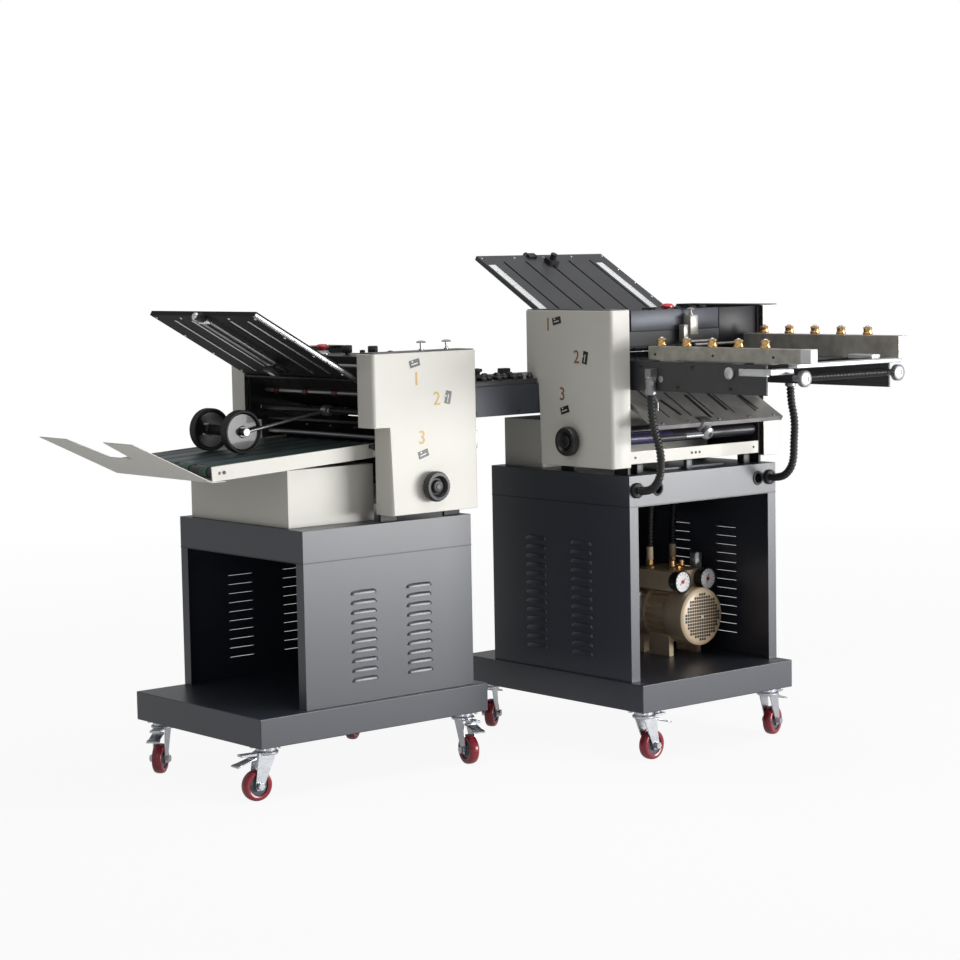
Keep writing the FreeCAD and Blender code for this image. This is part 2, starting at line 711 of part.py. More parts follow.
first, last = belt_centres()
node("delivery_table", on_table(delivery_table()))
node("delivery_belts", on_table(*[belt(S.belt_pitch * index) for index in BELTS]))
node("belt_drive_roller", on_table(belt_roller(first)))
node("belt_tail_roller", on_table(belt_roller(last)))
node("delivery_tray", in_head("a", delivery_tray()))


# ---------------------------------------------------------------- stacker wheels on their arm
def stacker_wheels():
    """Two heavy wheels on one axle sleeve that press the folded sheets on the belts."""
    half = S.stack_space / 2
    bore = 5 + S.run_clear
    rim = S.stack_radius
    low = -half - S.stack_wide / 2
    profile = [(bore, low), (12, low), (12, low + 4), (rim - 12, low + 4), (rim - 9, low),
               (rim - 2, low), (rim, low + 2), (rim, low + S.stack_wide - 2),
               (rim - 2, low + S.stack_wide), (16, low + S.stack_wide), (12, low + S.stack_wide + 6),
               (12, -low - S.stack_wide - 6), (16, -low - S.stack_wide), (rim - 2, -low - S.stack_wide),
               (rim, 2 - low - S.stack_wide), (rim, -low - 2), (rim - 2, -low), (rim - 9, -low),
               (rim - 12, -low - 4), (12, -low - 4), (12, -low), (bore, -low)]
    return place(group(turned(profile)), (S.stack_u, S.stack_v, S.stack_w), AXES["y"])


def stacker_arm():
    """Axle, and the long rod from it to a hub that swings on the pivot bar."""
    half = S.stack_space / 2 + S.stack_wide / 2
    axle = rod((S.stack_u, S.stack_v - half - 12, S.stack_w), 5, 2 * half + 24, "y")
    side_v = S.stack_v + half + 8
    nut = rod((S.stack_u, side_v - 5, S.stack_w), 9, 10, "y")
    end = rod((S.stack_u, S.stack_v - half - 12, S.stack_w), 9, 8, "y")
    run_u = S.stack_u - S.arm_u
    run_w = S.stack_w - S.arm_w
    reach = math.hypot(run_u.number, run_w.number)
    slope = math.degrees(math.atan2(run_w.number, run_u.number))
    bar = new("Part::Cylinder")
    bind(bar, Radius=S.arm_radius)
    bar.setExpression("Height", f"sqrt({(run_u * run_u + run_w * run_w).formula})")
    place(bar, (S.arm_u, side_v, S.arm_w), FreeCAD.Rotation(FreeCAD.Vector(0, 1, 0), 90 - slope))
    bar.setExpression("Placement.Rotation.Angle",
                      f"90 deg - atan2({run_w.formula}; {run_u.formula})")
    hub = rod((S.arm_u, side_v - 9, S.arm_w), 14, 18, "y")
    bore = rod((S.arm_u, side_v - 12, S.arm_w), 6 + S.run_clear, 24, "y")
    return cut(fuse(axle, nut, end, bar, hub), bore)


node("stacker_wheels", in_head("a", stacker_wheels()))
node("stacker_arm", in_head("a", stacker_arm()))

# ---------------------------------------------------------------- drive and switch boxes
node("drive_boxes",
     in_head("a", hollow_box((S.box_u, -S.box_half, 0), S.box_long, 2 * S.box_half - 36,
                             S.box_high, S.sheet)),
     in_head("b", hollow_box((S.rear_u, -S.box_half, 0), S.rear_long, 2 * S.box_half + 12,
                             S.rear_high, S.sheet)))


# ---------------------------------------------------------------- feed table with its guides
def feed_table():
    """Two side plates, a perforated bed between them and a round-ended front bar."""
    half = S.feed_half
    side_high = S.feed_w - S.side_low
    tail = S.deck_u - S.feed_long
    sides = [box((tail + 26, v, S.side_low), S.feed_long - 30, S.side_thick, side_high)
             for v in (-half, half - S.side_thick)]
    bed = box((tail + 150, -half, S.feed_w - 3), S.feed_long - 156, 2 * half, 3)
    front = box((tail, -half, S.feed_w - 9), 30, 2 * half - 60, 9)
    webs = [box((tail + 20, v, S.feed_w - 9), 140, 20, 9) for v in (-half, half - 80)]
    window = box((S.suction_u - 24, -S.suction_wide / 2 - 3, S.feed_w - 10), 48,
                 S.suction_wide + 6, 12)
    bore = rod((S.suction_u, -half - 1, S.feed_w - S.suction_radius + 1.5), 8 + S.run_clear,
               2 * half + 2, "y")
    return cut(fuse(*sides, bed, front, *webs), window, bore)


def suction_wheel():
    """Slotted vacuum drum that pulls one sheet at a time off the table."""
    half = S.feed_half
    w = S.feed_w - S.suction_radius + 1.5
    drum = rod((S.suction_u, -S.suction_wide / 2, w), S.suction_radius, S.suction_wide, "y")
    shaft = rod((S.suction_u, -half, w), 8, 2 * half, "y")
    slots = []
    for index in range(12):
        angle = math.radians(30 * index)
        for v in (-20, 0, 20):
            slots.append(rod((S.suction_u + (S.suction_radius - 4) * math.cos(angle), v - 3,
                              w + (S.suction_radius - 4) * math.sin(angle)), 5, 6, "y"))
    return cut(fuse(drum, shaft), *slots)


def ball_spots():
    near = [(S.near_rail_u - 36 - S.ball_pitch * index, S.near_rail_v) for index in range(5)]
    far = [(S.fence_u - 60 - S.ball_pitch * index, S.fence_v - 11) for index in range(5)]
    return near + far


def near_rail():
    """Register rail with pockets for the balls that hold the sheet's edge."""
    rail = box((S.near_rail_u - S.rail_long, S.near_rail_v - S.rail_wide / 2, S.feed_w + 4),
               S.rail_long, S.rail_wide, S.near_rail_high)
    foot = box((S.near_rail_u - 100, S.near_rail_v - S.rail_wide / 2, S.feed_w), 60, S.rail_wide, 4)
    rear = box((S.near_rail_u - 420, S.near_rail_v - S.rail_wide / 2, S.feed_w), 60, S.rail_wide, 4)
    return fuse(rail, foot, rear)


def far_fence():
    """Tall angle fence on the far side, with a ledge under its row of balls."""
    start = S.fence_u - S.fence_long
    fence = box((start, S.fence_v, S.feed_w), S.fence_long, S.fence_thick, S.fence_high)
    ledge = box((start, S.fence_v - 24, S.feed_w + S.fence_high - 4), S.fence_long, 24, 4)
    return fuse(fence, ledge)


def ball_holder(u, v):
    top = S.feed_w + (S.near_rail_high + 4 if v.number > 0 else S.fence_high)
    return rod((u, v, top), S.holder_radius, 9)


node("feed_table", in_head("b", feed_table()))
node("suction_wheel", in_head("b", suction_wheel()))
node("feed_guides", in_head("b", near_rail(), far_fence()))
node("ball_holders", in_head("b", *[ball_holder(u, v) for u, v in ball_spots()]))


# ---------------------------------------------------------------- transfer table between the carts
def transfer_table():
    """Roller table that carries the sheet across from the first unit to the second."""
    near_y = S.head_b_u + S.cover_long - S.cover_step
    far_y = mid_a_y + frame_v + S.transfer_lap
    end_x = mid_b_x + frame_v - S.transfer_in
    return hollow_box((S.head_a_u, near_y, top_b + S.transfer_under), end_x - S.head_a_u, far_y - near_y,
                      S.transfer_over - S.transfer_under, S.transfer_wall)


node("transfer_table", transfer_table())


# ---------------------------------------------------------------- vacuum pump in the feed cart
def pump_motor():
    """Motor on a folded foot, with the fan cover towards the cabinet's opening."""
    fan = rod((S.pump_x, S.pump_y, S.pump_z), S.fan_radius, S.fan_long, "y")
    body = rod((S.pump_x, S.pump_y + S.fan_long, S.pump_z), S.motor_radius,
               S.motor_long - S.fan_long, "y")
    foot = box((S.pump_x - 60, S.pump_y + S.fan_long + 10, deck_z), 120, S.motor_long - S.fan_long - 20,
               S.pump_z - S.motor_radius - deck_z + 14)
    tunnel = box((S.pump_x - 44, S.pump_y + S.fan_long, deck_z - 1), 88, S.motor_long,
                 S.pump_z - S.motor_radius - deck_z - 6)
    return cut(fuse(fan, body, foot), tunnel)


def pump_head():
    """Round pump housing behind the motor, with the manifold that carries gauges and elbows."""
    start = S.pump_y + S.motor_long
    housing = rod((S.pump_x, start, S.pump_z), S.housing_radius, S.housing_long, "y")
    manifold = box((S.pump_x - 66, start - 100, S.pump_z + S.motor_radius + 8), 132, 160, 50)
    neck = box((S.pump_x - 30, start + 4, S.pump_z + 40), 60, 50, 60)
    elbows = [rod((S.pump_x + dx, start, S.pump_z + S.motor_radius + 58), 9, 60) for dx in (-43, 43)]
    foot = box((S.pump_x - 50, start + 20, deck_z), 100, 60, S.pump_z - S.housing_radius - deck_z + 12)
    return fuse(housing, manifold, neck, *elbows, foot)


def gauge(dx):
    y = S.pump_y + S.motor_long - 100
    z = S.pump_z + S.motor_radius + 34
    return rod((S.pump_x + dx, y - 28, z), S.gauge_radius, 28, "y")


node("pump_motor", pump_motor())
node("pump_head", pump_head())
node("pump_gauges", gauge(-47), gauge(47))


# ---------------------------------------------------------------- hoses
def rounded_path(points):
    """Straight runs joined by tangent arcs, each as large as its shorter run allows."""
    corners = [FreeCAD.Vector(*point) for point in points]
    edges = []
    radii = []
    last_point = corners[0]
    for before, corner, after in zip(corners, corners[1:], corners[2:]):
        back = before - corner
        ahead = after - corner
        turn = math.pi - back.getAngle(ahead)
        tangent = 0.45 * min(back.Length, ahead.Length)
        radii.append(tangent / math.tan(turn / 2))
        back.normalize()
        ahead.normalize()
        start = corner + back * tangent
        end = corner + ahead * tangent
        inward = (back + ahead).normalize()
        sagitta = radii[-1] / math.cos(turn / 2) - radii[-1]
        edges.append(Part.LineSegment(last_point, start).toShape())
        edges.append(Part.Arc(start, corner + inward * sagitta, end).toShape())
        last_point = end
    edges.append(Part.LineSegment(last_point, corners[-1]).toShape())
    return Part.Wire(edges), radii


def hose(label, points, radius):
    wire, radii = rounded_path(points)
    start = wire.Vertexes[0].Point
    heading = FreeCAD.Vector(*points[1]) - FreeCAD.Vector(*points[0])
    ring = Part.Wire([Part.Circle(start, heading, radius).toShape()])
    tube = wire.makePipeShell([ring], True, True)
    solid_volume = math.pi * radius ** 2 * wire.Length
    print(f"{label}: length {wire.Length:.1f}, radii {[round(value) for value in radii]}, "
          f"volume ratio {tube.Volume / solid_volume:.4f}")
    feature = new("Part::Feature")
    feature.Shape = tube
    return feature


HOSE = S.hose_radius.number
header_y = (S.cart_b_y + S.cab_b_set).number
near_x = (cab_b_x + cab_wide - near_hole).number
far_x = (cab_b_x + cab_wide - far_hole).number
port_z = (top_b - 37).number
side_x = mid_b_x.number - S.feed_half.number
far_side_x = mid_b_x.number + S.feed_half.number
valve_z = (top_b + S.side_low).number

BEND = [(-88, 46.4), (-71, 17), (-41.6, 0), (-8, 0)]
NEAR_HOSE = [(side_x - 13, header_y - 50, valve_z + 6), (side_x - 13, header_y - 50, valve_z - 42),
             (side_x - 16, header_y - 64, port_z + 153), (near_x + 1, header_y - 88, port_z + 100)]
NEAR_HOSE += [(near_x, header_y + dy, port_z + dz) for dy, dz in BEND]
FAR_HOSE = [(far_side_x + 14, header_y - 82, valve_z + 6), (far_side_x + 14, header_y - 82, valve_z - 42),
            (far_side_x + 21, header_y - 91, port_z + 153), (far_x + 2, header_y - 88, port_z + 100)]
FAR_HOSE += [(far_x, header_y + dy, port_z + dz) for dy, dz in BEND]
node("feed_hose_near", hose("near hose", NEAR_HOSE, HOSE))
node("feed_hose_far", hose("far hose", FAR_HOSE, HOSE))


def valve(x, y, plate_x):
    """Threaded valve stub on the feed table's side plate that a hose hangs from."""
    z = valve_z + 6
    start = min(x - 10, plate_x)
    return fuse(rod((x, y, z), 12, 26), box((start, y - 10, z + 26), max(x + 10, plate_x) - start, 20, 24))


def grommet(x):
    """Flanged bush in the cap that a hose goes through."""
    return fuse(rod((x, header_y - 8, port_z), S.hose_radius + 7, 8, "y"),
                rod((x, header_y - 0.01, port_z), S.grommet_hole - 0.05, 12, "y"))


node("hose_fittings", valve(side_x - 13, header_y - 50, side_x),
     valve(far_side_x + 14, header_y - 82, far_side_x),
     grommet(near_x), grommet(far_x))

elbow_y = (S.pump_y + S.motor_long).number
elbow_z = (S.pump_z + S.motor_radius).number + 118
inner_hoses = []
for start_x, end_x in ((near_x, S.pump_x.number - 43), (far_x, S.pump_x.number + 43)):
    span = end_x - start_x
    inner_hoses.append(hose("inner hose", [(start_x, header_y + 12, port_z),
                                           (start_x, header_y + 70, port_z),
                                           (start_x + span * 0.2, header_y + 140, port_z + 2),
                                           (end_x - span * 0.14, elbow_y - 104, port_z - 1),
                                           (end_x, elbow_y - 26, port_z - 28),
                                           (end_x, elbow_y, port_z - 84),
                                           (end_x, elbow_y, elbow_z)], 9))
node("pump_hoses", *inner_hoses)

# ---------------------------------------------------------------- build, check and write
doc.recompute()
for thing in doc.Objects:
    faults = [state for state in thing.State if state in ("Invalid", "Error")]
    if faults:
        raise RuntimeError(f"{thing.Name} ({thing.TypeId}) is {faults}")
os.makedirs("parts", exist_ok=True)
for part in nodes:
    if part.Shape.isNull() or not part.Shape.isValid():
        raise RuntimeError(f"{part.Label} has no valid shape")
    part.Shape.exportStep(os.path.join("parts", f"{part.Label}.step"))
whole = FreeCAD.BoundBox()
for part in nodes:
    whole.add(part.Shape.BoundBox)
print(len(nodes), "nodes; box", whole)
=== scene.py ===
# %% [markdown]
# # A two-unit paper folder on castered carts
# The frame comes from the CAD model: every node already stands at its real place, in metres.
# This script gives each surface its finish, and adds the small trim that makes sheet metal,
# rollers and castings look real: screws, louvre hoods, knobs, dials, ribs and rods.

# %% Load the frame
import bmesh
import bpy
import math
from mathutils import Matrix, Vector


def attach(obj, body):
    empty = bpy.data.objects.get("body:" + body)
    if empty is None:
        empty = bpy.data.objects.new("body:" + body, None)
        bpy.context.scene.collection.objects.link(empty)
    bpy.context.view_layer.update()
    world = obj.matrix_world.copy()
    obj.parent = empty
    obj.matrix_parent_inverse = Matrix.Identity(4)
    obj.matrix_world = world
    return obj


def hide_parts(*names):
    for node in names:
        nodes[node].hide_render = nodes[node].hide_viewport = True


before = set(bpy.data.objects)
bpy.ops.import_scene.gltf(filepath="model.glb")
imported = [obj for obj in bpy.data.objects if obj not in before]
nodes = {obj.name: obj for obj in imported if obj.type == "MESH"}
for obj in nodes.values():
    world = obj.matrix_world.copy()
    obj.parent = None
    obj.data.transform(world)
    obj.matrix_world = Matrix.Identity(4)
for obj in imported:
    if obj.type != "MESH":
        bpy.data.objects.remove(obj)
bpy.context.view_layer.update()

# %% [markdown]
# ## Where things stand
# Each fold unit has its own drawing frame, in millimetres: u along the paper's way, v towards
# the handwheel, w up from the cart's top. Two matrices take that frame into the scene.

# %% Drawing frames
MM = Matrix.Scale(0.001, 4)
HALF = 303
COVER_TOP = 414
COVER_DEEP = 62
DECK_TOP = 398
HALF_TURN, QUARTER_TURN = Matrix.Rotation(math.pi, 4, "Z"), Matrix.Rotation(math.pi / 2, 4, "Z")
UNITS = {"a": Matrix.Translation((0.044755, 0.400, 0.636)) @ HALF_TURN @ MM,
         "b": Matrix.Translation((0.597255, -0.128, 0.7256)) @ QUARTER_TURN @ MM}
FLOOR_PLAN = Matrix.Translation((-0.616245, 0.122, 0)) @ MM


def tilted_frame(unit, u, w, degrees):
    """A frame that starts at the plate's outer end and rises along the paper's way."""
    return UNITS[unit] @ Matrix.Translation((u, 0, w)) @ Matrix.Rotation(-math.radians(degrees), 4, "Y")


PLATES = {"a": tilted_frame("a", 612, 514, 29.5), "b": tilted_frame("b", 612, 545, 29.5),
          "low": tilted_frame("b", -76, 116, 29.5)}
TABLE = tilted_frame("a", 731, 166, -3.1)
TRAY = tilted_frame("a", 732, 129, 25.5)
print("frames", list(UNITS), list(PLATES))

# %% [markdown]
# ## Camera
# The viewpoint is that of a person standing off the delivery end, at about eye height for a seat.
# The lens is long, so edges stay nearly parallel.

# %% Camera
YAW, PITCH, ROLL = math.radians(50.09), math.radians(5.26), math.radians(-1.06)
ahead = Vector((math.cos(PITCH) * math.cos(YAW), math.cos(PITCH) * math.sin(YAW), -math.sin(PITCH)))
level = Vector((math.sin(YAW), -math.cos(YAW), 0))
upward = level.cross(ahead)
right = level * math.cos(ROLL) + upward * math.sin(ROLL)
top = -level * math.sin(ROLL) + upward * math.cos(ROLL)
lens = bpy.data.cameras.new("camera")
lens.lens = 91.34
lens.sensor_width = 36
lens.clip_end = 200
camera = bpy.data.objects.new("camera", lens)
turn = Matrix((right, top, -ahead)).transposed().to_4x4()
camera.matrix_world = Matrix.Translation((-3.8389, -4.5521, 1.2816)) @ turn
bpy.context.scene.collection.objects.link(camera)
bpy.context.scene.camera = camera
print("camera", camera.matrix_world.translation)

# %% [markdown]
# ## Finishes
# A finish is a Principled shader with two noises in object space: a large one that varies the
# colour a little, as hands and dust do, and a fine one for roughness and bump. Brushed and
# ground metal stretch the fine noise along one direction.


# %% A finish from two noises
def add_node(tree, kind, values=(), **settings):
    """A new node with its properties set, and then some of its inputs by name or number."""
    node = tree.nodes.new(f"ShaderNode{kind}")
    for key, value in settings.items():
        setattr(node, key, value)
    for key, value in dict(values).items():
        node.inputs[key].default_value = value
    return node


def wire(tree, *links):
    """Each link names a node, its output, the next node and its input."""
    for source, output, target, entry in links:
        tree.links.new(source.outputs[output], target.inputs[entry])


def finish(name, colour, roughness, metallic=0.0, mottle=0.05, mottle_size=7.0, grain=300.0,
           bump=0.12, stretch=(1, 1, 1), spread=0.12, coat=0.0, specular=0.5):
    material = bpy.data.materials.new(name)
    material.use_nodes = True
    tree = material.node_tree
    shader = tree.nodes["Principled BSDF"]
    shader.inputs["Metallic"].default_value = metallic
    shader.inputs["Coat Weight"].default_value = coat
    shader.inputs["Specular IOR Level"].default_value = specular
    darker = [channel * (1 - 1.6 * mottle) for channel in colour]
    lighter = [min(1.0, channel * (1 + mottle)) for channel in colour]
    place = add_node(tree, "TexCoord")
    mapping = add_node(tree, "Mapping", {"Scale": stretch})
    cloud = add_node(tree, "TexNoise", {"Scale": mottle_size, "Detail": 4})
    blend = add_node(tree, "Mix", {"A": (*darker, 1), "B": (*lighter, 1)}, data_type="RGBA")
    fine = add_node(tree, "TexNoise", {"Scale": grain, "Detail": 3})
    spreader = add_node(tree, "MapRange", {"To Min": max(0.02, roughness - spread),
                                           "To Max": min(1.0, roughness + spread)})
    relief = add_node(tree, "Bump", {"Strength": bump, "Distance": 0.0004})
    wire(tree, (place, "Object", mapping, "Vector"), (place, "Object", cloud, "Vector"),
         (cloud, "Fac", blend, "Factor"), (blend, "Result", shader, "Base Color"),
         (mapping, "Vector", fine, "Vector"), (fine, "Fac", spreader, "Value"),
         (spreader, "Result", shader, "Roughness"), (fine, "Fac", relief, "Height"),
         (relief, "Normal", shader, "Normal"))
    return material


CREAM = finish("cream_powder_coat", (0.76, 0.745, 0.68), 0.46, mottle=0.03, grain=700,
               bump=0.10)
CART = finish("cart_grey_powder_coat", (0.034, 0.039, 0.054), 0.34, mottle=0.06,
              grain=600, bump=0.10, specular=0.8)
BLACK_SHEET = finish("black_sheet_enamel", (0.026, 0.026, 0.029), 0.38, mottle=0.18,
                     grain=500, bump=0.1, specular=0.25)
GUIDE_SHEET = finish("guide_sheet_grey", (0.055, 0.056, 0.060), 0.42, mottle=0.16,
                     grain=450, bump=0.1, mottle_size=12)
BLUED = finish("blued_plate", (0.062, 0.068, 0.084), 0.40, metallic=0.3, mottle=0.12,
               grain=350, bump=0.08, stretch=(1, 1, 12))
ZINC = finish("bright_zinc", (0.60, 0.62, 0.65), 0.30, metallic=1.0, mottle=0.12,
              mottle_size=60, grain=400)
STEEL = finish("ground_steel", (0.58, 0.58, 0.58), 0.26, metallic=1.0, mottle=0.06,
               grain=500, bump=0.06)
CHROME = finish("polished_chrome", (0.78, 0.79, 0.80), 0.10, metallic=1.0, mottle=0.03,
                grain=200, bump=0.02, spread=0.05)
ALUMINIUM = finish("mill_aluminium", (0.70, 0.71, 0.73), 0.36, metallic=0.85,
                   mottle=0.05, grain=160, stretch=(1, 14, 14), bump=0.08)
BRASS = finish("turned_brass", (0.72, 0.46, 0.20), 0.24, metallic=1.0, mottle=0.10,
               mottle_size=70, grain=600, bump=0.05)
BLACK_KNOB = finish("black_moulding", (0.018, 0.018, 0.019), 0.42, mottle=0.1,
                    grain=500, bump=0.12)
RUBBER = finish("black_rubber", (0.016, 0.016, 0.017), 0.62, mottle=0.15, grain=350,
                bump=0.25)
HOSE = finish("corrugated_hose", (0.008, 0.008, 0.009), 0.40, mottle=0.1, grain=400,
              bump=0.1)
DISC = finish("wheel_disc_black", (0.020, 0.020, 0.022), 0.34, mottle=0.2,
              grain=350, bump=0.15, coat=0.2)
TREAD = finish("red_wheel_tread", (0.30, 0.016, 0.030), 0.26, mottle=0.12,
               mottle_size=50, grain=300, bump=0.1, coat=0.3)
STOP_RED = finish("stop_button_red", (0.60, 0.020, 0.035), 0.30, mottle=0.05, grain=300,
                  coat=0.3)
BELT = finish("green_belt", (0.032, 0.085, 0.070), 0.50, mottle=0.14, grain=800,
              bump=0.2)
TAN = finish("tan_casting_paint", (0.78, 0.61, 0.41), 0.36, mottle=0.08, mottle_size=25,
             grain=260, bump=0.35, coat=0.2)
RAIL = finish("worn_register_rail", (0.46, 0.44, 0.40), 0.32, metallic=0.45,
              mottle=0.35, mottle_size=38, grain=140, stretch=(6, 1, 6), bump=0.12)
ROLLER = finish("violet_roller_cover", (0.045, 0.040, 0.115), 0.30, mottle=0.1,
                grain=500, bump=0.08)
ACCENT = finish("red_roller_ring", (0.09, 0.012, 0.012), 0.40, mottle=0.1, grain=400)
WHITE = finish("white_scale_strip", (0.78, 0.79, 0.80), 0.40, mottle=0.03, grain=400,
               bump=0.04)
GOLD = finish("gold_numeral", (0.52, 0.33, 0.09), 0.42, metallic=0.1, mottle=0.05, grain=400)
COPPER = finish("copper_numeral", (0.30, 0.13, 0.05), 0.42, metallic=0.1, mottle=0.1,
                grain=400)
TAG = finish("dark_tag", (0.02, 0.02, 0.022), 0.35, mottle=0.1, grain=400)
HUB = finish("caster_hub_grey", (0.10, 0.11, 0.13), 0.40, mottle=0.1, grain=300,
             bump=0.1)
DARK_ROLLER = finish("dark_roller_cover", (0.020, 0.020, 0.026), 0.32, mottle=0.1,
                     grain=500, bump=0.08)
DIAL = finish("dial_white", (0.95, 0.95, 0.95), 0.45, mottle=0.01, grain=200, bump=0.0)
BLACKENED = finish("blackened_steel", (0.030, 0.030, 0.033), 0.34, metallic=0.4, mottle=0.1,
                   grain=400, bump=0.06)
DULL_STEEL = finish("dull_steel", (0.34, 0.34, 0.35), 0.38, metallic=0.8, mottle=0.1,
                    grain=400, bump=0.06)
# the second unit's fold plate is seen from below: its darker colour is painted shade on that underside
PLATE_SHADED = finish("fold_plate_painted_shade", (0.020, 0.018, 0.017), 0.62, mottle=0.2,
                    grain=450, bump=0.1, specular=0.15)
PLATE_GREY = finish("fold_plate_grey", (0.050, 0.051, 0.055), 0.42, mottle=0.16,
                    grain=450, bump=0.1, mottle_size=12)
# light colour of the lower fold plate: painted sheen over a real mottle of worn metal
WORN_AND_SHEEN = finish("worn_plate_and_painted_sheen", (0.34, 0.33, 0.32), 0.40, metallic=0.3, mottle=0.3,
              mottle_size=22, grain=200)
print("finishes", len(bpy.data.materials))

# %% [markdown]
# ## Helpers that make pieces
# A piece is built in its drawing frame with bmesh operators, then moved into the scene once, so
# its object stays at the origin. It rides on a body and gets its material.


# %% Finishing a piece
def smooth_sharp(mesh, degrees):
    mesh.shade_smooth()
    mesh.set_sharp_from_angle(angle=math.radians(degrees))


def piece(name, shape, material, place=MM, body="machine", replaces=(), degrees=38, seconds=()):
    """Turns a bmesh into a finished object; seconds are extra materials by face index."""
    bmesh.ops.transform(shape, matrix=place, verts=shape.verts)
    mesh = bpy.data.meshes.new(name)
    shape.to_mesh(mesh)
    shape.free()
    mesh.materials.append(material)
    for extra in seconds:
        mesh.materials.append(extra)
    smooth_sharp(mesh, degrees)
    made = bpy.data.objects.new(name, mesh)
    bpy.context.scene.collection.objects.link(made)
    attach(made, body)
    if replaces:
        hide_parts(*replaces)
    print(name, len(mesh.polygons), "faces")
    return made


def fresh():
    return bmesh.new()


def own_edges(verts):
    return list({edge for vert in verts for edge in vert.link_edges})


def block(shape, low, high, edge=0.0, segments=2, turned=None, index=0):
    """A box between two corners, with its edges rounded by a small bevel."""
    size = [b - a for a, b in zip(low, high)]
    middle = Vector([(a + b) / 2 for a, b in zip(low, high)])
    verts = bmesh.ops.create_cube(shape, size=1)["verts"]
    bmesh.ops.scale(shape, vec=size, verts=verts)
    if turned:
        bmesh.ops.transform(shape, matrix=turned, verts=verts)
    bmesh.ops.translate(shape, vec=middle, verts=verts)
    faces = {face for vert in verts for face in vert.link_faces}
    if edge:
        rounded = bmesh.ops.bevel(shape, geom=own_edges(verts), offset=edge, segments=segments,
                                  profile=0.5, affect="EDGES", material=-1, clamp_overlap=True)
        faces = {face for vert in rounded["verts"] for face in vert.link_faces} | {
            face for face in faces if face.is_valid}
    for face in faces:
        face.material_index = index


AXIS_TURNS = {"x": Matrix.Rotation(math.pi / 2, 4, "Y"), "-x": Matrix.Rotation(-math.pi / 2, 4, "Y"),
              "y": Matrix.Rotation(-math.pi / 2, 4, "X"), "-y": Matrix.Rotation(math.pi / 2, 4, "X"),
              "z": Matrix(), "-z": Matrix.Rotation(math.pi, 4, "X")}


def turning(shape, profile, at=(0, 0, 0), axis="z", steps=32, index=0, tilt=None):
    """Spins a profile of (radius, height) points into a closed body of revolution."""
    before = set(shape.faces)
    verts = [shape.verts.new((radius, 0, height)) for radius, height in profile]
    edges = [shape.edges.new(pair) for pair in zip(verts, verts[1:])]
    bmesh.ops.spin(shape, geom=verts + edges, cent=(0, 0, 0), axis=(0, 0, 1), dvec=(0, 0, 0),
                   angle=2 * math.pi, steps=steps, use_merge=True)
    faces = [face for face in shape.faces if face not in before]
    ring = list({vert for face in faces for vert in face.verts})
    bmesh.ops.remove_doubles(shape, verts=ring, dist=0.001)
    faces = [face for face in shape.faces if face not in before]
    bmesh.ops.recalc_face_normals(shape, faces=faces)
    ring = list({vert for face in faces for vert in face.verts})
    turn_about = tilt or AXIS_TURNS[axis]
    bmesh.ops.transform(shape, matrix=Matrix.Translation(at) @ turn_about, verts=ring)
    for face in faces:
        face.material_index = index
    return faces


def rod(shape, at, radius, long, axis="z", steps=24, edge=0.6, index=0, tilt=None):
    """A straight bar with small chamfers at both ends."""
    edge = min(edge, radius * 0.4)
    profile = [(0, 0), (radius - edge, 0), (radius, edge), (radius, long - edge),
               (radius - edge, long), (0, long)]
    return turning(shape, profile, at, axis, steps, index, tilt)


def between(shape, start, end, radius, index=0):
    """A bar from one point to another."""
    run = Vector(end) - Vector(start)
    tilt = run.to_track_quat("Z", "Y").to_matrix().to_4x4()
    return rod(shape, start, radius, run.length, steps=16, index=index, tilt=tilt)


def cap_screw(shape, at, axis="z", radius=4.0, high=2.6, index=0):
    """Pan head with a hexagon socket: few faces, because there are many of them."""
    turning(shape, [(radius, 0), (radius, high * 0.55), (radius * 0.8, high), (radius * 0.46, high),
                    (radius * 0.42, high * 0.35), (0, high * 0.35)], at, axis, 12, index)


def hex_nut(shape, at, axis="z", radius=8.0, high=6.0):
    turning(shape, [(0, 0), (radius, 0), (radius, high * 0.85), (radius * 0.88, high), (0, high)], at,
            axis, 6)


def grip(shape, at, axis="z", radius=14.0, high=12.0, ribs=20, depth=0.08):
    """Knurled knob: every other column of a turned body is pulled in a little."""
    steps = ribs * 2
    before = set(shape.verts)
    turning(shape, [(0, 0), (radius * 0.86, 0), (radius, high * 0.12), (radius, high * 0.88),
                    (radius * 0.86, high), (radius * 0.4, high), (radius * 0.36, high * 0.9),
                    (0, high * 0.9)], (0, 0, 0), "z", steps)
    fresh_verts = [vert for vert in shape.verts if vert not in before]
    for vert in fresh_verts:
        flat = Vector((vert.co.x, vert.co.y, 0))
        column = round(math.atan2(vert.co.y, vert.co.x) / (2 * math.pi) * steps)
        if column % 2 and flat.length > radius * 0.8:
            vert.co -= flat * depth
    bmesh.ops.transform(shape, matrix=Matrix.Translation(at) @ AXIS_TURNS[axis], verts=fresh_verts)


def outline(shape, points, thick, at):
    """A flat outline of (u, w) pairs, thickened along v; returns the new faces."""
    before = set(shape.faces)
    face = shape.faces.new([shape.verts.new(Vector((u, 0, w)) + Vector(at)) for u, w in points])
    out = bmesh.ops.extrude_face_region(shape, geom=[face])["geom"]
    bmesh.ops.translate(shape, vec=(0, thick, 0),
                        verts=[item for item in out if isinstance(item, bmesh.types.BMVert)])
    faces = [face for face in shape.faces if face not in before]
    bmesh.ops.recalc_face_normals(shape, faces=faces)
    return faces


def box_piece(name, material, place, *rows, body="machine", slot=None):
    """A piece of plain boxes; each row holds what block takes after the shape."""
    shape = fresh()
    for row in rows:
        block(shape, *row)
    piece(name, shape, material, place, body)


def screw_piece(name, material, place, spots, *kind):
    """A piece of screws of one kind, one at each spot."""
    shape = fresh()
    for spot in spots:
        cap_screw(shape, spot, *kind)
    piece(name, shape, material, place)


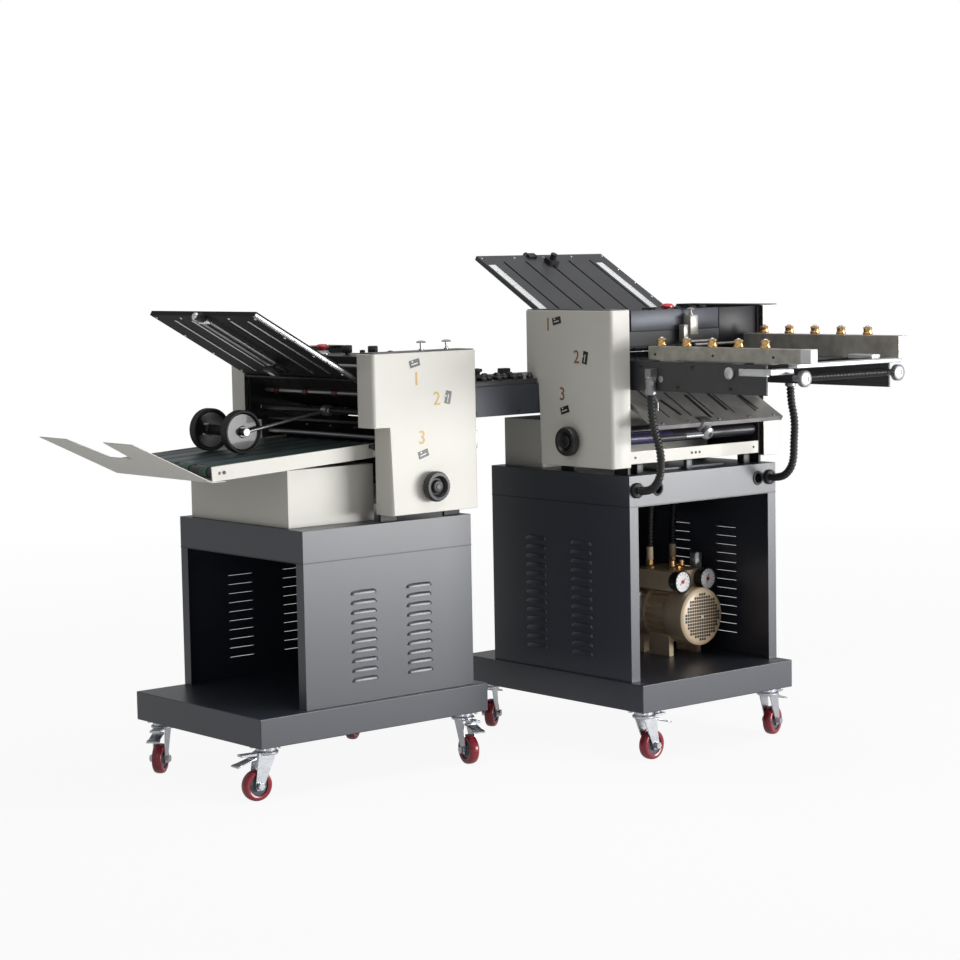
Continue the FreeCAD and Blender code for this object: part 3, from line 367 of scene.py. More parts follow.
# %% [markdown]
# ## CAD nodes with softened edges
# Real sheet metal and castings have no razor edges, and a thin rounding is what catches the
# light. A copy of the node's mesh is merged, its flat faces are joined up, and every sharp edge
# gets a small bevel. The copy replaces the node at the same place.


# %% Softened copies
SHARP = math.radians(35)


def softened(name, material, body="machine", width=0.0012, segments=2):
    """A copy of one CAD node with its sharp edges bevelled."""
    shape = bmesh.new()
    shape.from_mesh(nodes[name].data)
    bmesh.ops.remove_doubles(shape, verts=shape.verts, dist=0.00001)
    bmesh.ops.dissolve_limit(shape, angle_limit=math.radians(0.5), verts=shape.verts,
                             edges=shape.edges)
    sharp = [edge for edge in shape.edges
             if len(edge.link_faces) == 2 and edge.calc_face_angle(0) > SHARP]
    bmesh.ops.bevel(shape, geom=sharp, offset=width, segments=segments, profile=0.5,
                    affect="EDGES", material=-1, clamp_overlap=True)
    made = piece(f"{name}_body", shape, material, Matrix(), body, (name,), 40)
    weight = made.modifiers.new("weighted_normals", "WEIGHTED_NORMAL")
    weight.keep_sharp = True
    weight.weight = 90


softened("cart_bases", CART, width=0.0022, segments=3)
softened("cabinet_caps", CART, width=0.0012)
softened("cabinet_panels", CART, width=0.0006, segments=1)
softened("caster_plates", ZINC, width=0.0008)
softened("side_frames", BLACK_SHEET, width=0.0006)
softened("drive_boxes", CREAM, width=0.0015)
softened("top_decks", BLACK_SHEET, width=0.0012)
softened("cross_bars", CREAM, width=0.0008)
softened("delivery_table", CREAM, width=0.0006)
softened("delivery_tray", CREAM, width=0.0004, segments=1)
softened("transfer_table", BLUED, width=0.0012)
softened("feed_table", GUIDE_SHEET, width=0.0008)
softened("hose_fittings", DULL_STEEL, width=0.0008)
softened("pump_motor", TAN, width=0.0022)
softened("pump_head", TAN, width=0.0025)
for unit in "ab":
    # the second unit's plate takes the darker finish, painted shade for its shaded underside
    softened(f"{unit}_fold_plate", PLATE_GREY if unit == "b" else PLATE_SHADED,
             width=0.0004, segments=1)
    softened(f"{unit}_plate_stop", BLACKENED if unit == "b" else STEEL,
             body=f"{unit}_stop", width=0.0006)
    softened(f"{unit}_drive_shaft", BLACKENED, body=f"{unit}_drive", width=0.0006)
# the lower plate's light colour is painted sheen, and its mottle is real wear
softened("b_lower_plate", WORN_AND_SHEEN, width=0.0004, segments=1)
softened("b_lower_stop", STEEL, body="b_low_stop", width=0.0006)
softened("suction_wheel", ALUMINIUM, body="suction", width=0.0006)
softened("stacker_arm", DULL_STEEL, body="arm", width=0.0006)
softened("belt_drive_roller", BLACKENED, body="belt_drive", width=0.0006)
softened("belt_tail_roller", BLACKENED, body="belt_tail", width=0.0006)
softened("delivery_belts", BELT, width=0.0002, segments=1)
for number in range(1, 9):
    softened(f"caster_fork_{number}", ZINC, body=f"caster_{number}", width=0.0007)

# %% [markdown]
# ## Side covers
# The covers are deep-drawn shells: one outline, pulled 62 mm deep, with a generous radius on the
# upright corners and a tight one along the top. The outline is extruded, its open back is
# deleted, the corners are bevelled in two steps, and the wall gets its 2 mm thickness.

# %% Side covers
COVER = [(0, 19), (275, 19), (275, 235), (325, 235), (325, COVER_TOP), (0, COVER_TOP)]


def cover_shell(shape, side):
    faces = outline(shape, COVER, COVER_DEEP * side, (0, (HALF - COVER_DEEP) * side, 0))
    open_back = [face for face in faces
                 if all(abs(abs(vert.co.y) - (HALF - COVER_DEEP)) < 0.1 for vert in face.verts)]
    bmesh.ops.delete(shape, geom=open_back, context="FACES")
    faces = [face for face in faces if face.is_valid]
    around = {edge for face in faces for edge in face.edges if len(edge.link_faces) == 2}
    upright = [edge for edge in around
               if abs(edge.verts[0].co.y - edge.verts[1].co.y) < 0.1
               and abs(edge.verts[0].co.z - edge.verts[1].co.z) > 100]
    before = set(shape.faces) - set(faces)
    bmesh.ops.bevel(shape, geom=upright, offset=9, segments=5, profile=0.5, affect="EDGES",
                    material=-1, clamp_overlap=True)
    faces = [face for face in shape.faces if face not in before]
    rest = {edge for face in faces for edge in face.edges
            if len(edge.link_faces) == 2 and edge.calc_face_angle(0) > math.radians(50)}
    bmesh.ops.bevel(shape, geom=list(rest), offset=2, segments=2, profile=0.5, affect="EDGES",
                    material=-1, clamp_overlap=True)


shells = fresh()
for unit, matrix in UNITS.items():
    for side in (1, -1):
        part = fresh()
        cover_shell(part, side)
        bmesh.ops.recalc_face_normals(part, faces=part.faces)
        bmesh.ops.transform(part, matrix=matrix, verts=part.verts)
        copy = bpy.data.meshes.new("cover")
        part.to_mesh(copy)
        part.free()
        shells.from_mesh(copy)
        bpy.data.meshes.remove(copy)
covers = piece("side_cover_shells", shells, CREAM, Matrix(),
               replaces=("side_covers",), degrees=32)
wall = covers.modifiers.new("wall", "SOLIDIFY")
wall.thickness = 0.002
wall.offset = -1
weight = covers.modifiers.new("weighted_normals", "WEIGHTED_NORMAL")
weight.keep_sharp = True

# %% [markdown]
# A dark lip closes the top of each cover against the frame behind it, and shows as a thin line.

# %% Cover lips
for unit, matrix in UNITS.items():
    lips = fresh()
    for side in (1, -1):
        inner, outer = sorted((side * 236, side * (HALF - 3)))
        block(lips, (6, inner, COVER_TOP + 0.2), (319, outer, COVER_TOP + 2.4), 0.6, 1)
    piece(f"{unit}_cover_lips", lips, TAG, matrix)

# %% [markdown]
# ## Numerals and tags
# The adjusting points are marked with plain numerals, and each has a small dark tag beside it.
# A text object is made a mesh first, and then it is placed on the cover's face.


# %% Numerals
def numeral(name, text, unit, u, w, height, material):
    curve = bpy.data.curves.new(name, "FONT")
    curve.body = text
    curve.size = height * 1.38
    curve.extrude = 0.35
    curve.align_x = "CENTER"
    curve.align_y = "CENTER"
    holder = bpy.data.objects.new(name, curve)
    mesh = bpy.data.meshes.new_from_object(holder)
    bpy.data.objects.remove(holder)
    shape = bmesh.new()
    shape.from_mesh(mesh)
    # the letter's own x runs against u, and it stands up along w on the cover's outer face
    stand = Matrix(((-1, 0, 0, u), (0, 0, 1, HALF + 0.4), (0, 1, 0, w), (0, 0, 0, 1)))
    bmesh.ops.transform(shape, matrix=stand, verts=shape.verts)
    bmesh.ops.recalc_face_normals(shape, faces=shape.faces)
    piece(name, shape, material, UNITS[unit], degrees=30)


MARKS = {"a": (((191, 348), (196, 388)), ((128, 297), (93, 300)), ((177, 204), (174, 165))),
         "b": (((235, 377), (202, 388)), ((129, 296), (97, 296)), ((185, 201), (176, 162)))}
# a dark plate with a pale line and a pale dot: corners, depth, rounding and finish of each
TAG_PARTS = (((-16, -9), (16, 9), 0, 0.9, 0.3, 0), ((-9, -3.4), (11, -0.6), 0.7, 1.3, 0.2, 1),
             ((5, 2), (10, 5.4), 0.7, 1.3, 0.2, 1))
for unit, marks in MARKS.items():
    ink = GOLD if unit == "a" else COPPER
    tags = fresh()
    for count, (mark, tag) in enumerate(marks, start=1):
        numeral(f"{unit}_numeral_{count}", str(count), unit, *mark, 34, ink)
        slant = Matrix.Rotation(math.radians((12, 78, 16)[count - 1]), 4, "Y")
        for (u, w), (u_end, w_end), low, high, edge, look in TAG_PARTS:
            block(tags, (tag[0] + u, HALF + low, tag[1] + w),
                  (tag[0] + u_end, HALF + high, tag[1] + w_end), edge, 1, slant, look)
    piece(f"{unit}_point_tags", tags, TAG, UNITS[unit], seconds=(WHITE,))

# %% [markdown]
# ## Handwheels
# Each handwheel is a black moulding with a ribbed rim, a dished face and a raised hub.

# %% Handwheels
HANDWHEEL_SEAT = (149, HALF + 3, 84)
for unit, matrix in UNITS.items():
    wheel = fresh()
    rim = turning(wheel, [(8.2, 0), (18, 0), (30, 3), (34, 4), (37.6, 8), (37.6, 20), (34.5, 25.6),
                          (27, 26), (23, 19), (20, 15), (17, 15.5), (15.5, 22), (13, 23.4), (8.2, 23.4),
                          (8.2, 0)], (0, 0, 0), "z", 72)
    for vert in {vert for face in rim for vert in face.verts}:
        spoke = Vector((vert.co.x, vert.co.y, 0))
        column = round(math.atan2(vert.co.y, vert.co.x) / (2 * math.pi) * 72)
        if spoke.length > 33 and column % 3 == 0:
            vert.co -= spoke * 0.03
    turning(wheel, [(0, 24.6), (6.4, 24.6), (7.8, 22), (7.8, 10), (0, 10)], (0, 0, 0), "z", 24, 1)
    bmesh.ops.transform(wheel, matrix=Matrix.Translation(HANDWHEEL_SEAT) @ AXIS_TURNS["y"],
                        verts=wheel.verts)
    piece(f"{unit}_handwheel_rim", wheel, BLACK_KNOB, matrix, f"{unit}_drive",
          (f"{unit}_handwheel",), seconds=(BLACKENED,))

# %% [markdown]
# ## Louvres
# Each slot in the cabinets is covered outside by a pressed hood, open downwards. A whole sphere is
# cut to a quarter with two bisecting planes, and its points are pushed towards both ends, so that
# the hood is long and straight with rounded ends.

# %% Louvre hoods
CABINETS = {"a": ((144, 13, 204), 0, 521, 10), "b": ((1478.5, -268, 204), 90, 532, 13)}
CABINET_WIDE = 530
SLOT_LONG = 75
SLOT_PITCH = 23.7
HOOD_LOW = 51.95
HOOD_SIZE = (39.5, 4.6, 10.5)


def hood_verts(shape, outward):
    """A quarter of a stretched sphere; outward is -1 or 1, the side that it bulges to."""
    hood = bmesh.ops.create_uvsphere(shape, u_segments=16, v_segments=8, radius=1)["verts"]
    bmesh.ops.rotate(shape, verts=hood, cent=(0, 0, 0), matrix=Matrix.Rotation(math.pi / 2, 3, "Y"))
    kept = hood + own_edges(hood) + list({face for vert in hood for face in vert.link_faces})
    for spot, normal in (((0, 0, 0), (0, -outward, 0)), ((0, 0, -0.02), (0, 0, -1))):
        kept = bmesh.ops.bisect_plane(shape, geom=[item for item in kept if item.is_valid],
                                      plane_co=spot, plane_no=normal, clear_outer=True)["geom"]
    hood = [item for item in kept if isinstance(item, bmesh.types.BMVert) and item.is_valid]
    for vert in hood:
        vert.co.x = math.copysign(abs(vert.co.x) ** 0.25, vert.co.x)
    bmesh.ops.scale(shape, vec=HOOD_SIZE, verts=hood)
    return hood


hoods = fresh()
for corner, degrees, long, rows in CABINETS.values():
    cabinet = Matrix.Translation(corner) @ Matrix.Rotation(math.radians(degrees), 4, "Z")
    for start in (long * 0.27, long * 0.6):
        for row in range(rows):
            for y, outward in ((0, -1), (CABINET_WIDE, 1)):
                spot = Matrix.Translation((start + SLOT_LONG / 2, y, HOOD_LOW + SLOT_PITCH * row))
                bmesh.ops.transform(hoods, matrix=cabinet @ spot, verts=hood_verts(hoods, outward))
piece("louvre_hoods", hoods, CART, FLOOR_PLAN, degrees=50)

# %% [markdown]
# A thin dark line goes round each cabinet where its cap sits on the panels: painted shadow of the gap
# there.

# %% Cap seams
SEAMS = ((144, 13, 665, 543, 558), (948.5, -268, 1478.5, 264, 647.6))
# dark strips as painted shadow in the gap between cap and panels
seams = fresh()
for x_low, y_low, x_high, y_high, z in SEAMS:
    for low, high in (((x_low, y_low), (x_high, y_low)), ((x_low, y_high), (x_high, y_high)),
                      ((x_low, y_low), (x_low, y_high)), ((x_high, y_low), (x_high, y_high))):
        block(seams, (low[0] - 0.3, low[1] - 0.3, z - 1.5), (high[0] + 0.3, high[1] + 0.3, z + 1.5))
piece("cap_seam_shadows", seams, TAG, FLOOR_PLAN)

# %% [markdown]
# ## Casters
# The wheel has a red moulded tread on a darker hub; the tread and hub are one piece with two
# finishes. The swivel race shows as a bright ring over the fork, each plate has four bolts, and
# the axle ends in nuts.

# %% Caster wheels and trim
SPOTS = [(46, 46, 175), (654, 46, 259), (46, 499, 220), (654, 499, 215),
         (987, -270, 5), (1440, -270, 18), (987, 338, 35), (1440, 338, 40)]
WHEEL_CENTRE = (28, 0, 38)
bolts = fresh()
for number, (x, y, heading) in enumerate(SPOTS, start=1):
    fork = FLOOR_PLAN @ Matrix.Translation((x, y, 0)) @ Matrix.Rotation(math.radians(heading), 4, "Z")
    wheel = fresh()
    turning(wheel, [(24.5, -11), (29, -12.5), (33, -12.5), (36, -10.5), (37.6, -6), (38, 0), (37.6, 6),
                    (36, 10.5), (33, 12.5), (29, 12.5), (24.5, 11)], WHEEL_CENTRE, "y", 48)
    turning(wheel, [(5.1, -12.4), (13, -12.4), (14.5, -9), (24.6, -8.4), (24.6, 8.4), (14.5, 9),
                    (13, 12.4), (5.1, 12.4), (5.1, -12.4)], WHEEL_CENTRE, "y", 32, 1)
    piece(f"caster_tread_{number}", wheel, TREAD, fork, f"wheel_{number}",
          (f"caster_wheel_{number}",), seconds=(HUB,))
    trim = fresh()
    turning(trim, [(10, 111), (27, 111), (29.5, 113.5), (29.5, 117), (27, 119.5), (24, 121.5),
                   (24, 128.8), (10, 128.8)], (0, 0, 0), "z", 40)
    hex_nut(trim, (28, 20.2, 38), "y", 9.5, 6.5)
    hex_nut(trim, (28, -20.2, 38), "-y", 9.5, 6.5)
    lever = Matrix.Rotation(math.radians(16), 4, "Y")
    block(trim, (36, -15, 96), (84, 15, 99), 1.2, 2, lever)
    block(trim, (74, -17, 89), (88, 17, 93), 1.2, 2, lever)
    block(trim, (30, -13, 99), (46, 13, 106), 1.5)
    piece(f"caster_trim_{number}", trim, ZINC, fork, f"caster_{number}")
    for dx in (-24, 24):
        for dy in (-24, 24):
            hex_nut(bolts, (x + dx, y + dy, 129), "-z", 6, 5)
piece("caster_bolts", bolts, ZINC, FLOOR_PLAN)

# %% [markdown]
# ## Fold plates
# A fold plate is a slotted sandwich of two sheets. Along its edges run small screws, and slim
# strips and rods lie on it: on the second unit one sees the underside with its guide rods, on
# the first unit the top with two pale scales. On the underside, pale aluminium strips along the
# slots are painted light, for the light that comes through them.


# %% Fold plate trim
def plate_screws(shape, half, along, w, axis):
    for x in along:
        for v in (-half, half):
            cap_screw(shape, (x, v, w), axis, 3.6, 2.0)
    for v in (-104, 0, 104):
        cap_screw(shape, (along[0], v, w), axis, 3.6, 2.0)


UNDER = -0.2
OVER = 12.2
under = fresh()
plate_screws(under, 214, (-14, -110, -206, -302), UNDER, "-z")
for v, start, end in ((20, -6, -236), (-20, -6, -248)):
    between(under, (end, v, -7.5), (start, v, -7.5), 3.4, index=1)
# pale strips along the slots: painted light where light comes through the slots
for v in (-147, -72, 96, 168):
    block(under, (-300, v - 4, -1.6), (-26, v + 4, 0), 0.5, 1, None, 1)
block(under, (-20, -24, -13), (-6, 24, 0), 1.5)
turning(under, [(0, 0), (9, 0), (10, 3), (10, 12), (7, 15), (0, 15)], (4, 2, -9), "x", 24)
piece("a_plate_rods", under, CHROME, PLATES["a"], seconds=(ALUMINIUM,))

box_piece("a_plate_blocks", BLACK_KNOB, PLATES["a"],
          ((-6, -16, -17), (14, 20, 2), 2.5), ((-330, -224, -6), (-322, 224, -1), 1.0, 1))
box_piece("a_stop_runner", BLACK_KNOB, PLATES["a"],
          ((-270, -18, -29.5), (-234, 22, -15.5), 2.5), ((-266, 10, -20), (-238, 46, -12.4), 2.0),
          body="a_stop")

edge_rail = fresh()
block(edge_rail, (-486, 226.5, 1), (0, 229, 7.5), 0.6, 1)
block(edge_rail, (-486, 219, -1.2), (0, 229, 0), 0.4, 1)
for x in range(-460, 0, 110):
    cap_screw(edge_rail, (x, 229, 4), "y", 2.8, 1.2)
piece("a_plate_edge_rail", edge_rail, DULL_STEEL, PLATES["a"])

SCALE_V = (212, -178)
box_piece("b_plate_scales", WHITE, PLATES["b"],
          *(((-440, v - 12, OVER), (-52, v + 12, OVER + 1.4), 0.4, 1) for v in SCALE_V))
ticks = fresh()
for v in SCALE_V:
    for step in range(40):
        long = 9 if step % 5 == 0 else 5
        block(ticks, (-462 + 10 * step, v - 9, OVER + 1.3),
              (-461.2 + 10 * step, v - 9 + long, OVER + 1.6))
piece("b_plate_scale_ticks", ticks, TAG, PLATES["b"])
over = fresh()
plate_screws(over, 219, (-14, -90, -166, -242, -318), OVER - 0.2, "z")
piece("b_plate_screws", over, ZINC, PLATES["b"])
end_knob = fresh()
block(end_knob, (-22, 28, OVER), (-4, 56, OVER + 9), 2)
grip(end_knob, (2, 42, 6), "x", 8, 12, 12)
piece("b_plate_end_knob", end_knob, BLACK_KNOB, PLATES["b"])

low_trim = fresh()
for v in (-200, -110, 0, 110, 200):
    cap_screw(low_trim, (10, v, OVER - 0.2), "z", 3.6, 2.0)
block(low_trim, (-6, 36, -12), (22, 70, OVER + 4), 2)
turning(low_trim, [(0, 0), (15, 0), (17, 3), (17, 8), (12, 12), (7, 13), (7, 9), (0, 9)],
        (-10, 52, -12), "-x", 28)
between(low_trim, (-14, 60, -16), (-14, 215, -16), 5)
piece("b_lower_plate_clamp", low_trim, DULL_STEEL, PLATES["low"])
# dark strips along the slots: painted shade for the dark openings of the slots
low_slot_shade = fresh()
for start, end in (((41, 109), (115, 120)), ((19, 21), (129, 18)), ((47, -63), (134, -63)),
                   ((42, -170), (156, -161))):
    run = Vector(end) - Vector(start)
    middle = (Vector(start) + Vector(end)) / 2
    swing = Matrix.Rotation(math.atan2(run.y, run.x), 4, "Z")
    block(low_slot_shade, (middle.x - run.length / 2, middle.y - 5, OVER - 0.2),
          (middle.x + run.length / 2, middle.y + 5, OVER + 0.3), 0, 1, swing)
piece("b_lower_plate_slot_shade", low_slot_shade, TAG, PLATES["low"])
low_sleeve = fresh()
between(low_sleeve, (-14, 130, -16), (-14, 222, -16), 8)
piece("b_lower_plate_sleeve", low_sleeve, BLACK_KNOB, PLATES["low"])

# %% [markdown]
# ## Rollers
# The fold rollers are steel cores with raised polyurethane rings. In the second unit they show
# dark with reddish rings behind the delivery, and in the first one a violet roller shows low in
# front. They are turned bodies on the same axes as the CAD rollers.


# %% Fold rollers
def ringed_roller(shape, u, w, radius, reach, rings):
    """A roller with raised rings between its journals, and its gear at one end."""
    journal = 8
    profile = [(0, -245), (journal, -245), (journal, -reach), (radius - 1, -reach)]
    gap = 2 * reach / rings
    for ring in range(rings):
        start = -reach + gap * ring
        profile += [(radius, start + 1), (radius, start + gap - 9), (radius - 1.6, start + gap - 8),
                    (radius - 1.6, start + gap - 1)]
    profile += [(radius - 1, reach), (journal, reach)]
    profile += [(journal, 247), (radius, 247), (radius, 257), (journal, 257), (journal, 263), (0, 263)]
    turning(shape, profile, (u, 0, w), "y", 32)


for unit, matrix in UNITS.items():
    for which, w in (("upper", 323.3), ("lower", 282.7)):
        roller = fresh()
        ringed_roller(roller, 128, w, 20, 227, 9)
        piece(f"{unit}_{which}_fold_roller", roller, DARK_ROLLER, matrix, f"{unit}_{which}",
              (f"{unit}_roller_{which}",))

inside_a = fresh()
for u, w in ((262, 312), (254, 206), (236, 262), (290, 380)):
    rod(inside_a, (u, -232, w), 6, 464, "y", 16)
for u, w in ((262, 312), (236, 262)):
    for v in range(-190, 200, 124):
        rod(inside_a, (u, v, w), 9.5, 20, "y", 20, 1.5, 1)
block(inside_a, (29, -232, 60), (31, 232, 232), 0, 1, None, 2)
for start, end in ((-228, 34), (63, 228)):
    rod(inside_a, (276, start, 268), 6.8, end - start, "y", 20, 0.6, 2)
block(inside_a, (226, -232, 333), (240, 232, 345), 1.5, 2, None, 2)
block(inside_a, (250, -232, 236), (262, 232, 243), 1.0, 2, None, 2)
for v in (-150, -50, 50, 150):
    block(inside_a, (212, v - 6, 226), (268, v + 6, 232), 1.0, 1, None, 2)
piece("a_inner_rods", inside_a, DULL_STEEL, UNITS["a"], seconds=(ACCENT, BLACK_SHEET))

front_b = fresh()
rod(front_b, (34, 70, 88), 15, 160, "y", 32, 1.0)
# the rest of this roller and the next one take the dark roller finish: partly a black sleeve, partly
# painted shade where they lie in the dark
rod(front_b, (34, -230, 88), 15, 300, "y", 32, 1.0, 1)
rod(front_b, (70, -230, 104), 15, 460, "y", 32, 1.0, 1)
piece("b_front_rollers", front_b, ROLLER, UNITS["b"], seconds=(DARK_ROLLER,))

# %% [markdown]
# ## Front bar, feet and cap trim of the first unit
# A cream bar with three holes and end screws crosses the front, over two feet on the cart.

# %% Front bar trim
screw_piece("b_front_bar_screws", TAG, UNITS["b"],
            [(12.1, v, 42) for v in (-214, -14, 0, 14, 214)], "-x", 3.4, 1.6)
box_piece("b_front_feet", BLACK_KNOB, UNITS["b"],
          *(((14, v - 11, 0), (38, v + 11, 25), 1.5) for v in (-190, 196)))
box_piece("b_front_post", HUB, UNITS["b"],
          ((13, 12, 0), (26, 32, 25), 1.0), ((30, -120, 0), (120, 120, 7), 1.5))
PORT_Y, PORT_Z = -268, 688.6
port = fresh()
for x in (1046.5, 1411.5):
    turning(port, [(19, 0), (18, 2.4), (13.3, 2.8), (13.3, 0), (19, 0)],
            (x, PORT_Y, PORT_Z), "-y", 36)
piece("cable_port_bushes", port, RUBBER, FLOOR_PLAN)

# %% [markdown]
# ## Top of both units
# The red stop button has a mushroom head on a pale collar. Black knobs stand on the deck, and
# two thumb screws on the cover. Over the feed, a blued plate closes the deck's front.

# %% Tops
BUTTONS = {"a": (130, -165), "b": (80, 30)}
for unit, (u, v) in BUTTONS.items():
    button = fresh()
    turning(button, [(0, -23.5), (7.9, -23.5), (7.9, 1), (14, 0.4), (17, 2.4), (17, 6.5), (14, 9.4),
                     (8, 11.4), (0, 12)], (u, v, 413), "z", 40)
    for turn_step in range(3):
        arc = Matrix.Rotation(math.radians(120 * turn_step), 4, "Z")
        spot = arc @ Vector((9.5, 0, 0))
        block(button, (u + spot.x - 3, v + spot.y - 0.8, 423),
              (u + spot.x + 3, v + spot.y + 0.8, 424.3), 0.3, 1, arc)
    piece(f"{unit}_stop_mushroom", button, STOP_RED, UNITS[unit], f"{unit}_button",
          (f"{unit}_stop_button",))
    collar = fresh()
    turning(collar, [(8.6, 0), (22, 0), (22, 3), (17, 4.5), (16, 9.9), (8.6, 9.9), (8.6, 0)],
            (u, v, DECK_TOP), "z", 36)
    piece(f"{unit}_stop_collar", collar, ZINC, UNITS[unit])

tops = fresh()
for u, v, radius, high in ((120, -70, 13, 20), (120, 38, 13, 20), (112, -16, 7, 8), (112, 100, 8, 8)):
    rod(tops, (u, v, DECK_TOP), radius * 0.45, 14, "z", 16)
    grip(tops, (u, v, DECK_TOP + 5), "z", radius, high, 14)
piece("a_deck_knobs", tops, BLACK_KNOB, UNITS["a"])


def thumb_screw(shape, at, high=22, radius=11):
    rod(shape, at, 3, high, "z", 16)
    turning(shape, [(0, 0), (radius, 0), (radius + 1, 1.5), (radius, 4), (5, 5.4), (0, 5.6)],
            (at[0], at[1], at[2] + high - 3), "z", 28)
    rod(shape, at, 6, 4, "z", 20)


screws = fresh()
for u in (142, 62):
    thumb_screw(screws, (u, 262, COVER_TOP + 2))
piece("a_cover_thumb_screws", screws, CHROME, UNITS["a"])

box_piece("b_deck_front_plate", BLUED, UNITS["b"], ((18, -94, 359), (24, 218, 412), 1.5))
fascia = fresh()
block(fascia, (18, -233, 322), (24, -96, 412), 1.0)
block(fascia, (19, -96, 322), (23, 233, 359), 0.6, 1)
block(fascia, (24, -233, 398.4), (176, 233, 401), 0.8, 1)
block(fascia, (30, -233, 401), (52, 60, 409), 1.2)
for v in (-200, -160, -40, 10, 140, 190):
    cap_screw(fascia, (110, v, 401), "z", 4.5, 4)
piece("b_deck_lid", fascia, BLACK_SHEET, UNITS["b"])
deck_bits = fresh()
for u, v in ((118, 150), (124, 40), (104, -30), (128, -110), (150, -170)):
    grip(deck_bits, (u, v, 401), "z", 9, 14, 12)
block(deck_bits, (128, -60, 401), (144, 60, 415), 2)
piece("b_deck_knobs", deck_bits, BLACK_KNOB, UNITS["b"])

# %% [markdown]
# ## Separator over the feed
# A plain machined block on the blued plate holds the separator screw that stops a second sheet.

# %% Separator block
separator = fresh()
block(separator, (-10, 8, 346), (16, 36, 396), 1.5)
thumb_screw(separator, (3, 22, 396), 16, 9)
block(separator, (-6, 40, 330), (12, 56, 372), 1.2)
rod(separator, (-24, -40, 330), 3.2, 96, "y", 14)
rod(separator, (-40, -100, 322), 3.2, 150, "y", 14)
piece("b_separator_block", separator, RAIL, UNITS["b"])

# %% [markdown]
# ## Feed guides
# The register rail is a worn steel bar with a row of brass ball cages; the far fence is a tall
# folded sheet with its own row. Cages are turned brass with a steel ball showing on top.

# %% Rails
softened("feed_guides", RAIL, width=0.0012)
balls = fresh()
NEAR_V, FAR_V = 198, -203
BALL_SPOTS = [(-71 - 88 * step, NEAR_V, 324) for step in range(5)]
BALL_SPOTS += [(-40 - 88 * step, FAR_V, 342) for step in range(5)]
for u, v, w in BALL_SPOTS:
    turning(balls, [(0, 0), (11.4, 0), (12.3, 1.4), (12.3, 5.4), (10.4, 6.8), (10.4, 14.6), (11.4, 16),
                    (10.7, 19.2), (7.2, 20.2), (6.8, 17.4), (0, 17.4)], (u, v, w), "z", 28)
    turning(balls, [(0, 14), (4.4, 15), (6.3, 18.4), (5.8, 21.2), (3.4, 23.2), (0, 23.9)], (u, v, w),
            "z", 20, 1)
piece("ball_cages", balls, BRASS, UNITS["b"], replaces=("ball_holders",), seconds=(STEEL,))

box_piece("register_rail_end", WHITE, UNITS["b"],
          ((-578, 186, 290), (-545, 210.6, 324.6), 1.5))
side_screws = fresh()
for u, w in ((-20, 276), (-200, 276), (-380, 276), (-150, 226), (-330, 226)):
    cap_screw(side_screws, (u, 222, w), "y", 4, 3)
for u in (-60, -260, -460):
    cap_screw(side_screws, (u, 210.5, 304), "y", 3.4, 2)
piece("feed_side_screws", side_screws, TAG, UNITS["b"])

# %% [markdown]
# ## Feed end
# A pale aluminium bar ends the feed table. Two round knurled knobs hang below it with a short
# corrugated sleeve between them, beside a clamp that locks the guides.

# %% Feed end trim
ending = fresh()
block(ending, (-505, -200, 277), (-474, 176, 288), 3)
block(ending, (-478, -150, 288), (-400, -120, 298), 1.5)
block(ending, (-470, 150, 262), (-446, 230, 276), 2)
block(ending, (-452, 214, 258), (-360, 226, 276), 2)
turning(ending, [(0, 0), (13, 0), (14.5, 2), (14.5, 7), (10, 10), (6, 10.5), (5, 7), (0, 7)],
        (-330, 222, 264), "y", 28)
piece("feed_end_bar", ending, ALUMINIUM, UNITS["b"])
knobs = fresh()
for v in (150, -186):
    grip(knobs, (-494, v, 252), "-x", 20, 16, 26, 0.05)
    rod(knobs, (-494, v, 252), 8, 24, "x", 20)
piece("feed_end_knobs", knobs, DULL_STEEL, UNITS["b"])
sleeve = fresh()
ribs = [(7.6, 0)]
for step in range(56):
    ribs += [(10, 1.2 + 5 * step), (10, 3.2 + 5 * step), (8, 4.2 + 5 * step), (8, 5.2 + 5 * step)]
ribs += [(7.6, 281)]
turning(sleeve, [(0, 0)] + ribs + [(0, 281)], (-486, -160, 254), "y", 20)
piece("feed_end_sleeve", sleeve, HOSE, UNITS["b"])

# %% [markdown]
# ## Transfer table
# Black balls in holders line its near edge, over a folded strip; a bracket with a double knob
# clamps the side guide.

# %% Transfer table trim
box_piece("transfer_edge_strip", GUIDE_SHEET, FLOOR_PLAN, ((663, 27, 952), (908, 40, 966), 1.2),
          ((663, 40, 952.2), (908, 520, 954), 0.6, 1), slot="black_paint")
racks = fresh()
for step in range(9):
    x = 680 + 26 * step
    turning(racks, [(0, 0), (8, 0), (9.5, 2), (9.5, 8), (7, 10), (6.5, 13), (4, 15.6), (0, 16.4)],
            (x, 34 + 9 * (step % 2), 966), "z", 20)
turning(racks, [(0, 0), (7, 0), (7, 12), (15, 14), (16, 17), (16, 21), (10, 24), (8, 28), (8, 33),
                (13, 35), (14, 38), (13, 42), (0, 44)], (735, 62, 954), "z", 28)
block(racks, (845, 90, 954), (872, 112, 992), 2.0)
rod(racks, (700, 70, 972), 5, 190, "x", 20)
for x in (718, 760, 802, 844):
    rod(racks, (x, 70, 972), 12, 12, "x", 24, 1.5)
piece("transfer_table_rollers", racks, BLACK_KNOB, FLOOR_PLAN)
screw_piece("transfer_table_screws", TAG, FLOOR_PLAN,
            [(700, 25.2, 886), (840, 25.2, 886)], "-y", 4, 2.4)

# %% [markdown]
# ## Delivery
# Two heavy stacker wheels roll on the sheets. Their discs sit in thin black tyres, and a nut
# closes the axle. The rail shows its end screws, and the tray its two dark ones.

